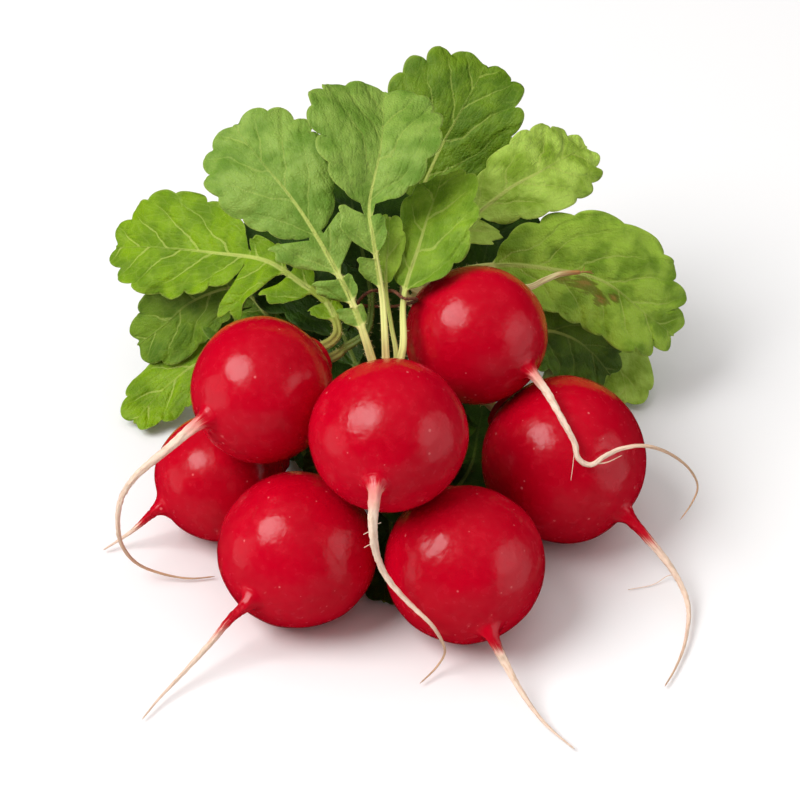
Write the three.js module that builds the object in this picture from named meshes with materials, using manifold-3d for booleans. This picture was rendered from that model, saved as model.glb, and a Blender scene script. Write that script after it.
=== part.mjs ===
// A bunch of seven cherry radishes lying on a flat surface, held by a thin loop of string.
// Each root is one solid: the round globe, its crown and its taproot. Each leaf is one solid: the stalk,
// its side lobes and the scalloped blade. Millimetres, +Z up. The roots point to -Y and the leaves to +Y.
import * as THREE from "three";
import { mergeVertices } from "three/addons/utils/BufferGeometryUtils.js";
import Module from "manifold-3d";

const wasm = await Module();
wasm.setup();

// Roots
const GLOBE_SIDES = 18;
const GLOBE_RINGS = 10;
const CROWN_FLATTEN = 0.98; // the crown half of a globe is a little shorter than its root half
const NECK_RADIUS = 4.2;
const NECK_HEIGHT = 1.4;
const TAPROOT_SIDES = 6;
const TAPROOT_BASE_RADIUS = 1.9;
const TAPROOT_TIP_RADIUS = 0.35;
const TAPROOT_SUNK = 4;
const TAPROOT_STEPS = 16;

// Leaves
const STALK_RADIUS = 1.3;
const MIDRIB_TIP_RADIUS = 0.35;
const BLADE_HALF_THICKNESS = 0.35;
const SEAT_GAP = 0.35;
const SEAT_LEAD = 3.5;
const SEAT_RADIUS = 2.35; // how far from a crown's axis its stalks stand
const STALK_STEPS = 5;
const STEPS_PER_TOOTH = 3;
const TOOTH_DEPTH = 0.09;
const BLADE_TAPER = 0.22; // how much wider a blade is towards its tip than towards its stalk
const LOBE_OUTLINE = [0.1, 0.7, 0.97, 0.9, 1, 0.75, 0.12]; // reach of a side lobe along its own width
const LOBE_SPREAD = 0.35; // a lobe is wider at its tip than at the stalk by this share
const LOBE_SWEEP = 0.6; // side lobes lean forward by this share of their reach
const LOBE_CLEARANCE = 1.2;

// Places are in a frame whose origin is on the surface, under the front of the topmost globe.
const ROOTS = [
  {
    name: "radish_1",
    centre: [0.2, 9, 47.4],
    radius: 17.2,
    root: [-0.15, -0.98, 0.02],
    crown: [-0.03, 0.99, -0.04],
    taproot: [[-3.2, -14.5, 40], [-2.2, -14.8, 32], [0.5, -16, 26], [4.9, -18, 21], [9.4, -20.5, 17.5], [12, -20.8, 12.5], [12.7, -18.5, 5.5], [10.8, -19.6, 2.4], [7.2, -23.2, 1.1]],
  },
  {
    name: "radish_2",
    centre: [-20.8, 3.2, 17.55],
    radius: 18,
    root: [-0.55, -0.83, -0.06],
    rests: true,
    taproot: [[-35.5, -13, 11.5], [-39.1, -16.1, 8.5], [-45.7, -22.4, 4.2], [-51, -28.4, 2], [-54.7, -34.2, 1]],
  },
  {
    name: "radish_3",
    centre: [17.3, -1.4, 17.65],
    radius: 18.1,
    root: [0.3, -0.92, -0.25],
    rests: true,
    taproot: [[26, -22.5, 8], [30, -29, 4], [34.9, -36.2, 1.8], [41.2, -43.2, 1]],
  },
  {
    name: "radish_4",
    centre: [-28.8, 26.8, 46.3],
    radius: 16.4,
    root: [-0.73, -0.68, 0.02],
    taproot: [[-50.5, 11.8, 40], [-57.3, 10.2, 34], [-60.9, 10.9, 27], [-62.3, 10.8, 20], [-61.9, 10.9, 12], [-58.6, 11.4, 5.5], [-52.5, 11.3, 2.2], [-46.6, 11, 1.2], [-40.8, 11.9, 1]],
  },
  {
    name: "radish_5",
    centre: [-39.8, 31.4, 14.95],
    radius: 15.4,
    root: [-0.85, -0.5, -0.15],
    rests: true,
    taproot: [[-56.2, 23.5, 10], [-60, 23.2, 6], [-64, 22.5, 2.8], [-67.8, 21, 1]],
  },
  {
    name: "radish_6",
    centre: [41.3, 32.6, 19.25],
    radius: 19.7,
    root: [0.7, -0.67, -0.25],
    rests: true,
    taproot: [[62.4, 12.5, 9.6], [67, 7.2, 5.6], [69.4, 0.6, 2.8], [68.2, -9.6, 1.6], [65.3, -18.1, 1.1], [62.4, -24, 1]],
  },
  {
    name: "radish_7",
    centre: [20.5, 46.4, 46],
    radius: 16,
    root: [0.7, -0.7, -0.05],
    taproot: [[36, 29.5, 43.6], [39.5, 23.4, 40.6], [42.6, 18.6, 36.8], [43.5, 15.8, 34.3], [46.3, 15.4, 32.8], [49.5, 17.2, 33.8], [53.4, 19.4, 34.2], [58.8, 19, 35.5], [65.5, 20.9, 31], [70, 21.4, 26], [72.1, 21.1, 21], [70.9, 19.9, 17], [68.3, 18.4, 13]],
  },
];

// A leaf's spine runs from its seat on the crown along the stalk and midrib to the tip. seat is the
// angle of that seat round the crown. stalk is the share of the spine before the blade, width is the
// blade's half-width to the left and the right, facing is where the upper side looks at the start and
// at the end, and lobes are [place along the stalk, reach left, reach right, span].
const LEAVES = [
  {
    name: "leaf_1a", root: "radish_1", seat: 180, stalk: 0.53, width: [14, 14.5], teeth: 6, thick: 1.25,
    spine: [[-5.2, 34, 54.8], [-8.7, 40, 62], [-16.3, 49.9, 72], [-22.1, 56.5, 78], [-29.3, 64.3, 83], [-36.5, 75, 86.5]],
    facing: [[0.2, -0.75, 0.6], [0.05, -0.75, 0.65]], fold: 6, cup: -0.02, wave: 1.3,
    lobes: [[0.46, 3.5, 1.5, 4.5], [0.63, 6, 2, 5.5], [0.86, 11, 9, 8]],
  },
  {
    name: "leaf_1b", root: "radish_1", seat: 90, stalk: 0.56, width: [15, 13.5], teeth: 6, thick: 1.05,
    spine: [[-0.7, 33.4, 55.2], [-1.4, 41.2, 62], [-3.5, 48.6, 73], [-4.4, 54, 77], [-1.7, 66.2, 86], [-1.1, 84.2, 89.5]],
    facing: [[0, -0.8, 0.5], [0.1, -0.8, 0.5]], fold: 24, cup: -0.015, wave: 1.5,
    lobes: [[0.62, 4, 0, 6], [0.83, 7, 3, 8]],
  },
  {
    name: "leaf_1d", root: "radish_1", seat: 270, stalk: 0.62, width: [3.6, 4], teeth: 3, thick: 0.85,
    spine: [[1.8, 34, 48.5], [0.7, 39.5, 54.5], [-0.4, 44, 60.2], [-0.5, 47.5, 65], [0, 51.9, 68.5], [0.3, 58.5, 72]],
    facing: [[0, -0.8, 0.5], [0.1, -0.8, 0.5]], fold: 10, cup: -0.02, wave: 0.4,
    lobes: [],
  },
  {
    name: "leaf_1c", root: "radish_1", seat: 0, stalk: 0.42, width: [7.5, 12.5], teeth: 5, thick: 1.15, taper: 0,
    spine: [[3.4, 33.5, 53], [3.6, 43, 60], [7.3, 53.6, 67], [9.2, 60, 70], [11.3, 66.4, 72], [13.1, 75.5, 72]],
    facing: [[-0.3, -0.8, 0.5], [-0.35, -0.75, 0.5]], fold: 8, cup: -0.02, wave: 0.9,
    lobes: [],
  },
  {
    name: "leaf_2a", root: "radish_2", seat: 60, stalk: 0.52, width: [15, 15], teeth: 5,
    spine: [[-7, 28, 21], [-5, 42, 27], [-10, 58, 34], [-20, 76, 41], [-33, 97, 44]],
    facing: [[0, -0.7, 0.7], [0.1, -0.5, 0.85]], fold: 8, cup: -0.02, wave: 1.2,
    lobes: [[0.9, 5, 5, 8]],
  },
  {
    name: "leaf_2b", root: "radish_2", seat: 240, stalk: 0.42, width: [13, 13], teeth: 5,
    spine: [[-11, 28, 14], [-11, 45, 13], [-15, 66, 14], [-24, 88, 15], [-33, 104, 9]],
    facing: [[0, 0, 1], [-0.2, 0.2, 1]], fold: 8, cup: -0.02, wave: 1.2,
    lobes: [[0.85, 6, 6, 8]],
  },
  {
    name: "leaf_2c", root: "radish_2", seat: 150, stalk: 0.3, width: [4.5, 4], teeth: 3, thick: 1,
    spine: [[-12.5, 25.5, 20.3], [-17, 30.5, 18.5], [-20.5, 35.5, 13.5]],
    facing: [[0.1, -0.7, 0.7], [0.1, -0.7, 0.7]], fold: 6, cup: -0.02, wave: 0.3,
    lobes: [],
  },
  {
    name: "leaf_3a", root: "radish_3", seat: 120, stalk: 0.45, width: [13, 10], teeth: 5,
    spine: [[9, 25, 25], [3, 40, 24], [-1, 60, 26], [-2, 82, 26], [-1, 104, 22]],
    facing: [[0, -0.7, 0.7], [0, -0.3, 1]], fold: 8, cup: -0.02, wave: 1.2,
    lobes: [[0.9, 5, 5, 8]],
  },
  {
    name: "leaf_3b", root: "radish_3", seat: 240, stalk: 0.58, width: [13, 13], teeth: 5,
    spine: [[11, 27, 14], [9, 46, 10], [15, 62, 19], [21, 77, 33], [25, 90, 43], [28, 102, 49]],
    facing: [[0, -0.6, 0.8], [0, -0.7, 0.7]], fold: 8, cup: -0.02, wave: 1.2,
    lobes: [[0.46, 4, 11, 10]],
  },
  {
    name: "leaf_3c", root: "radish_3", seat: 0, stalk: 0.25, width: [7.5, 4.5], teeth: 4, thick: 1.1,
    spine: [[12, 24, 23.5], [14.5, 30, 26], [16.5, 37, 26.5], [17.5, 44, 23.5], [18.5, 50, 19]],
    facing: [[0.1, -0.6, 0.7], [0.2, -0.6, 0.7]], fold: 8, cup: -0.02, wave: 0.5,
    lobes: [],
  },
  {
    name: "leaf_4a", root: "radish_4", seat: 90, stalk: 0.52, width: [12.5, 15], teeth: 6, taper: 0.08,
    spine: [[-11.8, 46, 48], [-14.5, 53, 50.5], [-21.2, 60.6, 50.8], [-29.5, 71.2, 49], [-42.7, 81, 44], [-59.2, 90.1, 39], [-69.2, 96.4, 34]],
    facing: [[0.2, -0.75, 0.65], [-0.1, -0.65, 0.75]], fold: 8, cup: -0.02, wave: 1.5,
    lobes: [[0.3, 4, 2, 5], [0.56, 8, 4, 8], [0.84, 16, 5, 12]],
  },
  {
    name: "leaf_4b", root: "radish_4", seat: 0, stalk: 0.5, width: [11, 14], teeth: 5,
    spine: [[-10.5, 42.5, 45], [-5.2, 45, 48], [-4, 52, 52], [-6, 64, 56], [-8.5, 77, 60], [-10, 91, 62]],
    facing: [[0, -0.7, 0.6], [0, -0.6, 0.8]], fold: 8, cup: -0.02, wave: 1,
    lobes: [[0.85, 4, 4, 6]],
  },
  {
    name: "leaf_5a", root: "radish_5", seat: 90, stalk: 0.5, width: [10.5, 9], teeth: 4, thick: 1.3,
    spine: [[-21, 47, 23], [-25, 60, 29], [-31, 73, 33], [-37.9, 81.2, 33], [-49.5, 82.9, 27], [-56.1, 83, 20], [-64.4, 83.7, 12]],
    facing: [[0, -0.7, 0.7], [-0.3, -0.7, 0.6]], fold: 6, cup: -0.02, wave: 1,
    lobes: [[0.95, 13, 4, 11]],
  },
  {
    name: "leaf_5b", root: "radish_5", seat: 270, stalk: 0.5, width: [8.5, 8.5], teeth: 4, thick: 1.3,
    spine: [[-21, 47, 14], [-29, 60, 12], [-38, 71, 13], [-46, 75.7, 14], [-54.2, 74.5, 8.5], [-58.6, 71.5, 5.5], [-64.3, 64.4, 2.4]],
    facing: [[0, -0.5, 0.8], [-0.3, -0.5, 0.8]], fold: 6, cup: -0.02, wave: 0.8,
    lobes: [],
  },
  {
    name: "leaf_6a", root: "radish_6", seat: 90, stalk: 0.38, width: [10, 13], teeth: 5, thick: 1.2, taper: 0.05,
    spine: [[23.5, 55, 26], [30, 67, 24.5], [38, 75.5, 24], [44.8, 77, 21], [50.7, 78.1, 15], [56.4, 77.6, 7]],
    facing: [[0, -0.8, 0.6], [0.1, -0.8, 0.6]], fold: 6, cup: -0.02, wave: 0.8,
    lobes: [],
  },
  {
    name: "leaf_6b", root: "radish_6", seat: 270, stalk: 0.5, width: [9, 9], teeth: 4, thick: 1.3,
    spine: [[23, 55, 19], [31, 69, 17], [42, 82, 16.5], [49.5, 86, 15], [55, 84.5, 11], [59, 79.5, 5.5], [59.5, 72, 2.4]],
    facing: [[0, -0.5, 0.9], [0.2, -0.5, 0.9]], fold: 6, cup: -0.02, wave: 0.6,
    lobes: [],
  },
  {
    name: "leaf_7a", root: "radish_7", seat: 270, stalk: 0.34, width: [16.5, 12.5], teeth: 7, taper: 0.05,
    spine: [[9.5, 66.5, 43.5], [16, 71, 45.5], [27, 71.5, 47.5], [38.5, 73.4, 45], [52, 76, 39.3], [63.2, 76, 29], [71.8, 78, 19.5]],
    facing: [[0, -0.75, 0.65], [0.2, -0.75, 0.6]], fold: 6, cup: -0.02, wave: 1.5,
    lobes: [],
  },
  {
    name: "leaf_7b", root: "radish_7", seat: 90, stalk: 0.42, width: [11, 11.5], teeth: 6, taper: 0.1,
    spine: [[10, 66, 51], [14, 73, 53], [19.6, 79.5, 55], [29.3, 85.7, 60], [36.7, 91.1, 61], [43.5, 99, 60], [49.8, 108, 57]],
    facing: [[0, -0.7, 0.7], [0, -0.6, 0.8]], fold: 8, cup: -0.02, wave: 1.2,
    lobes: [[0.82, 2, 8, 8]],
  },
  {
    name: "leaf_7c", root: "radish_7", seat: 180, stalk: 0.42, width: [18.5, 15], teeth: 7,
    spine: [[4, 67, 47], [3.5, 78, 48], [8, 93, 54], [12.9, 100.6, 62], [17, 104.3, 68.5], [21.2, 110.5, 73.3], [24.2, 118, 75.2]],
    facing: [[0, -0.9, 0.4], [-0.05, -0.8, 0.6]], fold: 10, cup: -0.015, wave: 1.3,
    lobes: [],
  },
];

const DRY_STALK_ROUTE = [[15, 65, 47.6], [24, 66, 46.6], [33.5, 64.8, 46], [37, 66, 47], [41, 68, 47.4], [46, 70, 46.5]];
const DRY_STALK_TIP_RADIUS = 0.5;

// The string passes behind the two thin stalks of the topmost crown, before its right stalk, and round
// a stalk of the left upper root.
const STRING_ROUTE = [
  [-3.7, 45.2, 60.1], [-0.8, 47.6, 58.2], [1.5, 43.2, 61.4], [3.7, 40.4, 61.6], [6.2, 42.6, 59.8],
  [6, 47, 55.5], [1, 52.5, 49.8], [-4, 53.6, 49], [-7, 50.5, 52], [-5.6, 46.8, 57.6],
];
const STRING_RADIUS = 0.5;

// The three.js geometry of a closed mesh given as points and triangles.
function meshGeometry(points, triangles) {
  const geometry = new THREE.BufferGeometry();
  geometry.setAttribute("position", new THREE.Float32BufferAttribute(points.flatMap((p) => p.toArray()), 3));
  geometry.setIndex(triangles.flat());
  return geometry;
}

function toSolid(geometry) {
  const bare = geometry.clone();
  for (const name of Object.keys(bare.attributes)) {
    if (name !== "position") bare.deleteAttribute(name);
  }
  const merged = mergeVertices(bare, 1e-4);
  return new wasm.Manifold(
    new wasm.Mesh({
      numProp: 3,
      vertProperties: merged.attributes.position.array,
      triVerts: new Uint32Array(merged.index.array),
    }),
  );
}

function toGeometry(solid) {
  const mesh = solid.getMesh();
  const geometry = new THREE.BufferGeometry();
  geometry.setAttribute("position", new THREE.BufferAttribute(mesh.vertProperties, 3));
  geometry.setIndex(new THREE.BufferAttribute(mesh.triVerts, 1));
  geometry.computeVertexNormals();
  return geometry;
}

const vector = (list) => new THREE.Vector3(...list);
const mix = (a, b, share) => a + (b - a) * share;
const smooth = (share) => THREE.MathUtils.smoothstep(share, 0, 1);

// A round bar along a curve, from one radius to the other, closed at both ends.
function taperedBar(curve, radiusAt, sides, steps) {
  const frames = curve.computeFrenetFrames(steps, false);
  const points = [];
  const triangles = [];
  for (let i = 0; i <= steps; i++) {
    const centre = curve.getPointAt(i / steps);
    for (let j = 0; j < sides; j++) {
      const angle = (j / sides) * 2 * Math.PI;
      const out = frames.normals[i].clone().multiplyScalar(Math.cos(angle));
      out.addScaledVector(frames.binormals[i], Math.sin(angle));
      points.push(centre.clone().addScaledVector(out, radiusAt(i / steps)));
    }
  }
  for (let i = 0; i < steps; i++) {
    for (let j = 0; j < sides; j++) {
      const a = i * sides + j;
      const b = i * sides + ((j + 1) % sides);
      triangles.push([a, b, b + sides], [a, b + sides, a + sides]);
    }
  }
  const start = points.push(curve.getPointAt(0)) - 1;
  const end = points.push(curve.getPointAt(1)) - 1;
  for (let j = 0; j < sides; j++) {
    const next = (j + 1) % sides;
    triangles.push([start, next, j], [end, steps * sides + j, steps * sides + next]);
  }
  return meshGeometry(points, triangles);
}

// The globe stands on +Y of its own frame: the root end up, the crown down.
function globeGeometry(radius) {
  const profile = [new THREE.Vector2(0, -radius * CROWN_FLATTEN)];
  const rootAngle = Math.asin((TAPROOT_BASE_RADIUS * 1.9) / radius);
  for (let i = 1; i <= GLOBE_RINGS; i++) {
    const angle = mix(0, Math.PI - rootAngle, i / GLOBE_RINGS);
    const flat = angle < Math.PI / 2 ? CROWN_FLATTEN : 1;
    profile.push(new THREE.Vector2(radius * Math.sin(angle), -radius * Math.cos(angle) * flat));
  }
  profile.push(new THREE.Vector2(TAPROOT_BASE_RADIUS * 1.15, radius * 1.03));
  profile.push(new THREE.Vector2(0, radius * 1.03));
  return new THREE.LatheGeometry(profile, GLOBE_SIDES);
}

// The way a root's crown faces: opposite its taproot, unless it is stated.
const crownOf = (spec) => (spec.crown ? vector(spec.crown) : vector(spec.root).negate()).normalize();

function turned(geometry, axis) {
  const turn = new THREE.Quaternion().setFromUnitVectors(new THREE.Vector3(0, 1, 0), axis);
  return geometry.applyQuaternion(turn);
}

function rootGeometry(spec) {
  const axis = vector(spec.root).normalize();
  const centre = vector(spec.centre);
  const globe = turned(globeGeometry(spec.radius), axis).translate(...spec.centre);
  const start = centre.clone().addScaledVector(axis, spec.radius - TAPROOT_SUNK);
  const exit = centre.clone().addScaledVector(axis, spec.radius + 1.5);
  const route = new THREE.CatmullRomCurve3([start, exit, ...spec.taproot.map(vector)], false, "centripetal");
  const radiusAt = (share) => mix(TAPROOT_BASE_RADIUS, TAPROOT_TIP_RADIUS, Math.pow(share, 0.4));
  const taproot = taperedBar(route, radiusAt, TAPROOT_SIDES, TAPROOT_STEPS);
  const neckTop = spec.radius * CROWN_FLATTEN + NECK_HEIGHT;
  const neck = new THREE.CylinderGeometry(NECK_RADIUS, NECK_RADIUS + 2, 2 * NECK_HEIGHT, 14);
  turned(neck.translate(0, neckTop - NECK_HEIGHT, 0), crownOf(spec)).translate(...spec.centre);
  let solid = toSolid(globe).add(toSolid(taproot)).add(toSolid(neck));
  if (spec.rests) {
    const under = new THREE.BoxGeometry(300, 300, 20);
    under.translate(0, 0, -10);
    solid = solid.subtract(toSolid(under));
  }
  return toGeometry(solid);
}

// Where a leaf's stalk meets the crown, and the way the crown faces there.
function seatOf(spec) {
  const root = ROOTS.find((r) => r.name === spec.root);
  const away = crownOf(root);
  const right = new THREE.Vector3().crossVectors(away, new THREE.Vector3(0, 0, 1)).normalize();
  const up = new THREE.Vector3().crossVectors(right, away);
  const angle = THREE.MathUtils.degToRad(spec.seat);
  const at = vector(root.centre).addScaledVector(away, root.radius * CROWN_FLATTEN + NECK_HEIGHT + SEAT_GAP);
  at.addScaledVector(right, Math.cos(angle) * SEAT_RADIUS).addScaledVector(up, Math.sin(angle) * SEAT_RADIUS);
  return { at, away };
}

// A leaf's surface as a function of x across and y along its spine, in millimetres.
class LeafSurface {
  constructor(spec) {
    const seat = seatOf(spec);
    const lead = seat.at.clone().addScaledVector(seat.away, SEAT_LEAD);
    this.spec = spec;
    this.spine = new THREE.CatmullRomCurve3([seat.at, lead, ...spec.spine.map(vector)], false, "centripetal");
    this.length = this.spine.getLength();
    this.bladeStart = this.length * spec.stalk;
    this.bladeLength = this.length - this.bladeStart;
  }

  frame(y) {
    const share = THREE.MathUtils.clamp(y / this.length, 0, 1);
    const along = this.spine.getTangentAt(share);
    const facing = vector(this.spec.facing[0]).lerp(vector(this.spec.facing[1]), share);
    const across = new THREE.Vector3().crossVectors(along, facing).normalize();
    const normal = new THREE.Vector3().crossVectors(across, along);
    const point = this.spine.getPointAt(share).addScaledVector(along, y - share * this.length);
    return { point, along, across, normal };
  }

  midSurface(x, y) {
    const { point, across, normal } = this.frame(y);
    const side = Math.sign(x) || 1;
    const reach = Math.abs(x);
    const width = this.spec.width[side < 0 ? 0 : 1];
    const inBlade = smooth((y - this.bladeStart * 0.5) / (this.bladeStart * 0.5));
    const fold = THREE.MathUtils.degToRad(this.spec.fold) * inBlade;
    const cup = this.spec.cup || 1e-6;
    const out = Math.sin(cup * reach) / cup;
    const lift = (1 - Math.cos(cup * reach)) / cup;
    const ripple = Math.sin((y / this.bladeLength) * 3.2 * Math.PI + side * 1.1 + this.spec.seat);
    const wave = this.spec.wave * Math.min(1.3, reach / width) ** 2 * ripple * inBlade;
    return point
      .addScaledVector(across, side * (out * Math.cos(fold) - lift * Math.sin(fold)))
      .addScaledVector(normal, out * Math.sin(fold) + lift * Math.cos(fold) + wave);
  }

  // A point at a height over the middle surface, square to it.
  at(x, y, height) {
    const step = 0.2;
    const acrossStep = this.midSurface(x + step, y).sub(this.midSurface(x - step, y));
    const alongStep = this.midSurface(x, y + step).sub(this.midSurface(x, y - step));
    const normal = acrossStep.cross(alongStep).normalize();
    return this.midSurface(x, y).addScaledVector(normal, height);
  }

  midribRadius(y) {
    const share = THREE.MathUtils.clamp(y / this.length, 0, 1);
    return mix(this.spec.thick || STALK_RADIUS, MIDRIB_TIP_RADIUS, Math.pow(share, 1.4));
  }

  // Where the lobes start, each one ending clear of the next and of the blade.
  lobeStarts() {
    let limit = this.bladeStart;
    const backwards = this.spec.lobes.toReversed().map(([place, , , span]) => {
      limit = Math.min(place * this.bladeStart - span / 2, limit - span - LOBE_CLEARANCE);
      return limit;
    });
    return backwards.toReversed();
  }

  // Stations along the spine: the midrib's y, and each side's edge as [reach, y].
  stations() {
    const { spec, bladeStart, bladeLength } = this;
    const bare = (y) => ({ y, edges: [[this.midribRadius(y), y], [this.midribRadius(y), y]] });
    const starts = this.lobeStarts();
    const lobes = spec.lobes.map(([, left, right, span], number) => {
      const start = starts[number];
      return LOBE_OUTLINE.map((share, i) => {
        const y = start + (span * i) / (LOBE_OUTLINE.length - 1);
        const edges = [left, right].map((reach) => {
          const out = this.midribRadius(y) + reach * share;
          const fan = LOBE_SPREAD * span * (i / (LOBE_OUTLINE.length - 1) - 0.5) * share;
          return [out, y + LOBE_SWEEP * reach * share + (reach ? fan : 0)];
        });
        return { y, edges };
      });
    });
    const stalkEnd = lobes.length ? lobes[0][0].y : bladeStart;
    const list = [];
    for (let i = 0; i < STALK_STEPS; i++) list.push(bare((stalkEnd * i) / STALK_STEPS));
    lobes.forEach((lobe) => list.push(...lobe));
    const count = spec.teeth * STEPS_PER_TOOTH + 2;
    const taper = spec.taper ?? BLADE_TAPER;
    for (let i = 0; i < count; i++) {
      const share = i / count;
      const angle = mix(0.12, Math.PI, share);
      const notch = (i + 1) % STEPS_PER_TOOTH === 0 ? 1 - TOOTH_DEPTH * smooth(share * 3) : 1;
      const out = Math.sin(angle) ** 0.9 * (1 - taper * Math.cos(angle)) * notch;
      const y = bladeStart + 0.5 * bladeLength * (1 - Math.cos(angle) * notch);
      const rib = bladeStart + bladeLength * (0.65 * share + 0.33 * share * share);
      list.push({
        y: rib,
        edges: spec.width.map((width) => [Math.max(this.midribRadius(rib), width * out), y]),
      });
    }
    const last = this.length - 0.6;
    list.push({ y: last, edges: [[0.8, this.length], [0.8, this.length]] });
    return list;
  }

  geometry() {
    const points = [];
    const triangles = [];
    const stations = this.stations();
    const ring = 10;
    for (const { y, edges } of stations) {
      const radius = this.midribRadius(y);
      const column = (side, part) => {
        const [reach, edgeY] = edges[side < 0 ? 0 : 1];
        const blade = smooth((reach - radius) / (2 * radius));
        const shoulder = mix(0.7 * radius, Math.max(0.35 * reach, 1.3 * radius), blade);
        const top = [mix(0.85 * radius, 0.35 + 0.35 * radius, blade), mix(0.7 * radius, BLADE_HALF_THICKNESS, blade), mix(0.25 * radius, 0.3, blade)];
        const under = [mix(radius, 0.35 + 0.9 * radius, blade), mix(0.7 * radius, BLADE_HALF_THICKNESS, blade), mix(0.25 * radius, 0.3, blade)];
        const x = [0, shoulder, reach][part];
        return { x: side * x, y: mix(y, edgeY, reach ? x / reach : 0), top: top[part], under: under[part] };
      };
      const columns = [column(-1, 2), column(-1, 1), column(1, 0), column(1, 1), column(1, 2)];
      columns.forEach((c) => points.push(this.at(c.x, c.y, c.top)));
      columns.reverse().forEach((c) => points.push(this.at(c.x, c.y, -c.under)));
    }
    for (let i = 0; i + 1 < stations.length; i++) {
      for (let j = 0; j < ring; j++) {
        const a = i * ring + j;
        const b = i * ring + ((j + 1) % ring);
        // The same diagonals on the upper and the lower face, so that a waved blade never crosses itself.
        if (j === 0 || j === 1 || j === 7 || j === 8) triangles.push([a, b, a + ring], [b, b + ring, a + ring]);
        else triangles.push([a, b, b + ring], [a, b + ring, a + ring]);
      }
    }
    const last = (stations.length - 1) * ring;
    for (const [start, turned] of [[0, true], [last, false]]) {
      // A strip across the end, from the left edge to the right edge.
      for (let k = 0; k < 4; k++) {
        const [p, q] = [start + k, start + k + 1];
        const [r, s] = [start + 9 - k, start + 8 - k];
        const faces = [[p, r, q], [q, r, s]];
        faces.forEach((f) => triangles.push(turned ? f : [f[0], f[2], f[1]]));
      }
    }
    return meshGeometry(points, triangles);
  }
}

// A string: a round bar along a closed curve.
function loopGeometry(curve, radius, sides, steps) {
  const points = [];
  const triangles = [];
  const frames = curve.computeFrenetFrames(steps, true);
  for (let i = 0; i < steps; i++) {
    const centre = curve.getPointAt(i / steps);
    for (let j = 0; j < sides; j++) {
      const angle = (j / sides) * 2 * Math.PI;
      const out = frames.normals[i].clone().multiplyScalar(Math.cos(angle));
      out.addScaledVector(frames.binormals[i], Math.sin(angle));
      points.push(centre.clone().addScaledVector(out, radius));
    }
  }
  for (let i = 0; i < steps; i++) {
    const next = (i + 1) % steps;
    for (let j = 0; j < sides; j++) {
      const k = (j + 1) % sides;
      triangles.push([i * sides + j, i * sides + k, next * sides + k]);
      triangles.push([i * sides + j, next * sides + k, next * sides + j]);
    }
  }
  return meshGeometry(points, triangles);
}

function dryStalkGeometry() {
  const seat = seatOf({ root: "radish_7", seat: 0 });
  const lead = seat.at.clone().addScaledVector(seat.away, SEAT_LEAD);
  const curve = new THREE.CatmullRomCurve3([seat.at, lead, ...DRY_STALK_ROUTE.map(vector)], false, "centripetal");
  return taperedBar(curve, (share) => mix(STALK_RADIUS, DRY_STALK_TIP_RADIUS, share ** 2), 8, 14);
}

const skin = new THREE.MeshStandardMaterial({ color: 0xc8102e, roughness: 0.35, metalness: 0 });
const green = new THREE.MeshStandardMaterial({ color: 0x5f8f2a, roughness: 0.6, metalness: 0 });
const straw = new THREE.MeshStandardMaterial({ color: 0xd9c48f, roughness: 0.7, metalness: 0 });
const brown = new THREE.MeshStandardMaterial({ color: 0x8a4a2c, roughness: 0.7, metalness: 0 });

const bunch = new THREE.Group();
bunch.name = "bunch_of_radishes";

function place(name, geometry, material) {
  const mesh = new THREE.Mesh(geometry, material);
  mesh.name = name;
  bunch.add(mesh);
}

for (const spec of ROOTS) place(spec.name, rootGeometry(spec), skin);
for (const spec of LEAVES) place(spec.name, new LeafSurface(spec).geometry(), green);
place("dry_stalk", dryStalkGeometry(), straw);
const string = new THREE.CatmullRomCurve3(STRING_ROUTE.map(vector), true, "centripetal");
place("tie", loopGeometry(string, STRING_RADIUS, 6, 30), brown);

// The origin is under the middle of the whole bunch, on the surface.
const box = new THREE.Box3().setFromObject(bunch);
const shift = [-(box.min.x + box.max.x) / 2, -(box.min.y + box.max.y) / 2, -box.min.z];
bunch.children.forEach((mesh) => mesh.geometry.translate(...shift));
bunch.userData.shift = shift;

export default bunch;
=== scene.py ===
"""A bunch of seven round red radishes with their leaves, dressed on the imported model."""

from __future__ import annotations

import logging
import math
from dataclasses import dataclass, field
from enum import Enum

import bpy
import numpy as np
from mathutils import Matrix, Vector


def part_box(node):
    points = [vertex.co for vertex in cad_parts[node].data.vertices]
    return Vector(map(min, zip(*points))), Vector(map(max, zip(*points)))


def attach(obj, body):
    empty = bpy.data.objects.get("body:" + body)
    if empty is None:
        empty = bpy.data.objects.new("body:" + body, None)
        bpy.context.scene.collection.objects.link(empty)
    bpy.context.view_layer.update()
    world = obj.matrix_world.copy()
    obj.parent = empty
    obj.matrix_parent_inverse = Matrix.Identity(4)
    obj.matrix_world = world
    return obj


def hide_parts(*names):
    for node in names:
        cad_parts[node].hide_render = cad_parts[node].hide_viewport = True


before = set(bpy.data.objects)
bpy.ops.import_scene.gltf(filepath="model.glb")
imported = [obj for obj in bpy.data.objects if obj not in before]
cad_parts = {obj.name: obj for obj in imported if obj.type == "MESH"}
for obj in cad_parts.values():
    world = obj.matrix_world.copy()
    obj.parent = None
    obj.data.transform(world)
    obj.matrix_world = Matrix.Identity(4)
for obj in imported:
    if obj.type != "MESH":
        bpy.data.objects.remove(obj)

LOG = logging.getLogger("radishes")
MM = 0.001
SHIFT = np.array([-2.3875, -37.7788, 0.0])  # from the tables' millimetres to the model's own origin
CROWN_FLATTEN = 0.98
NECK_HEIGHT = 1.4
TAPROOT_SUNK = 4.0
SEAT_GAP = 0.35
SEAT_LEAD = 3.5
SEAT_RADIUS = 2.35
LOBE_OUTLINE = (0.1, 0.7, 0.97, 0.9, 1.0, 0.75, 0.12)
LOBE_SPREAD = 0.35
LOBE_SWEEP = 0.6
LOBE_CLEARANCE = 1.2
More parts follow.
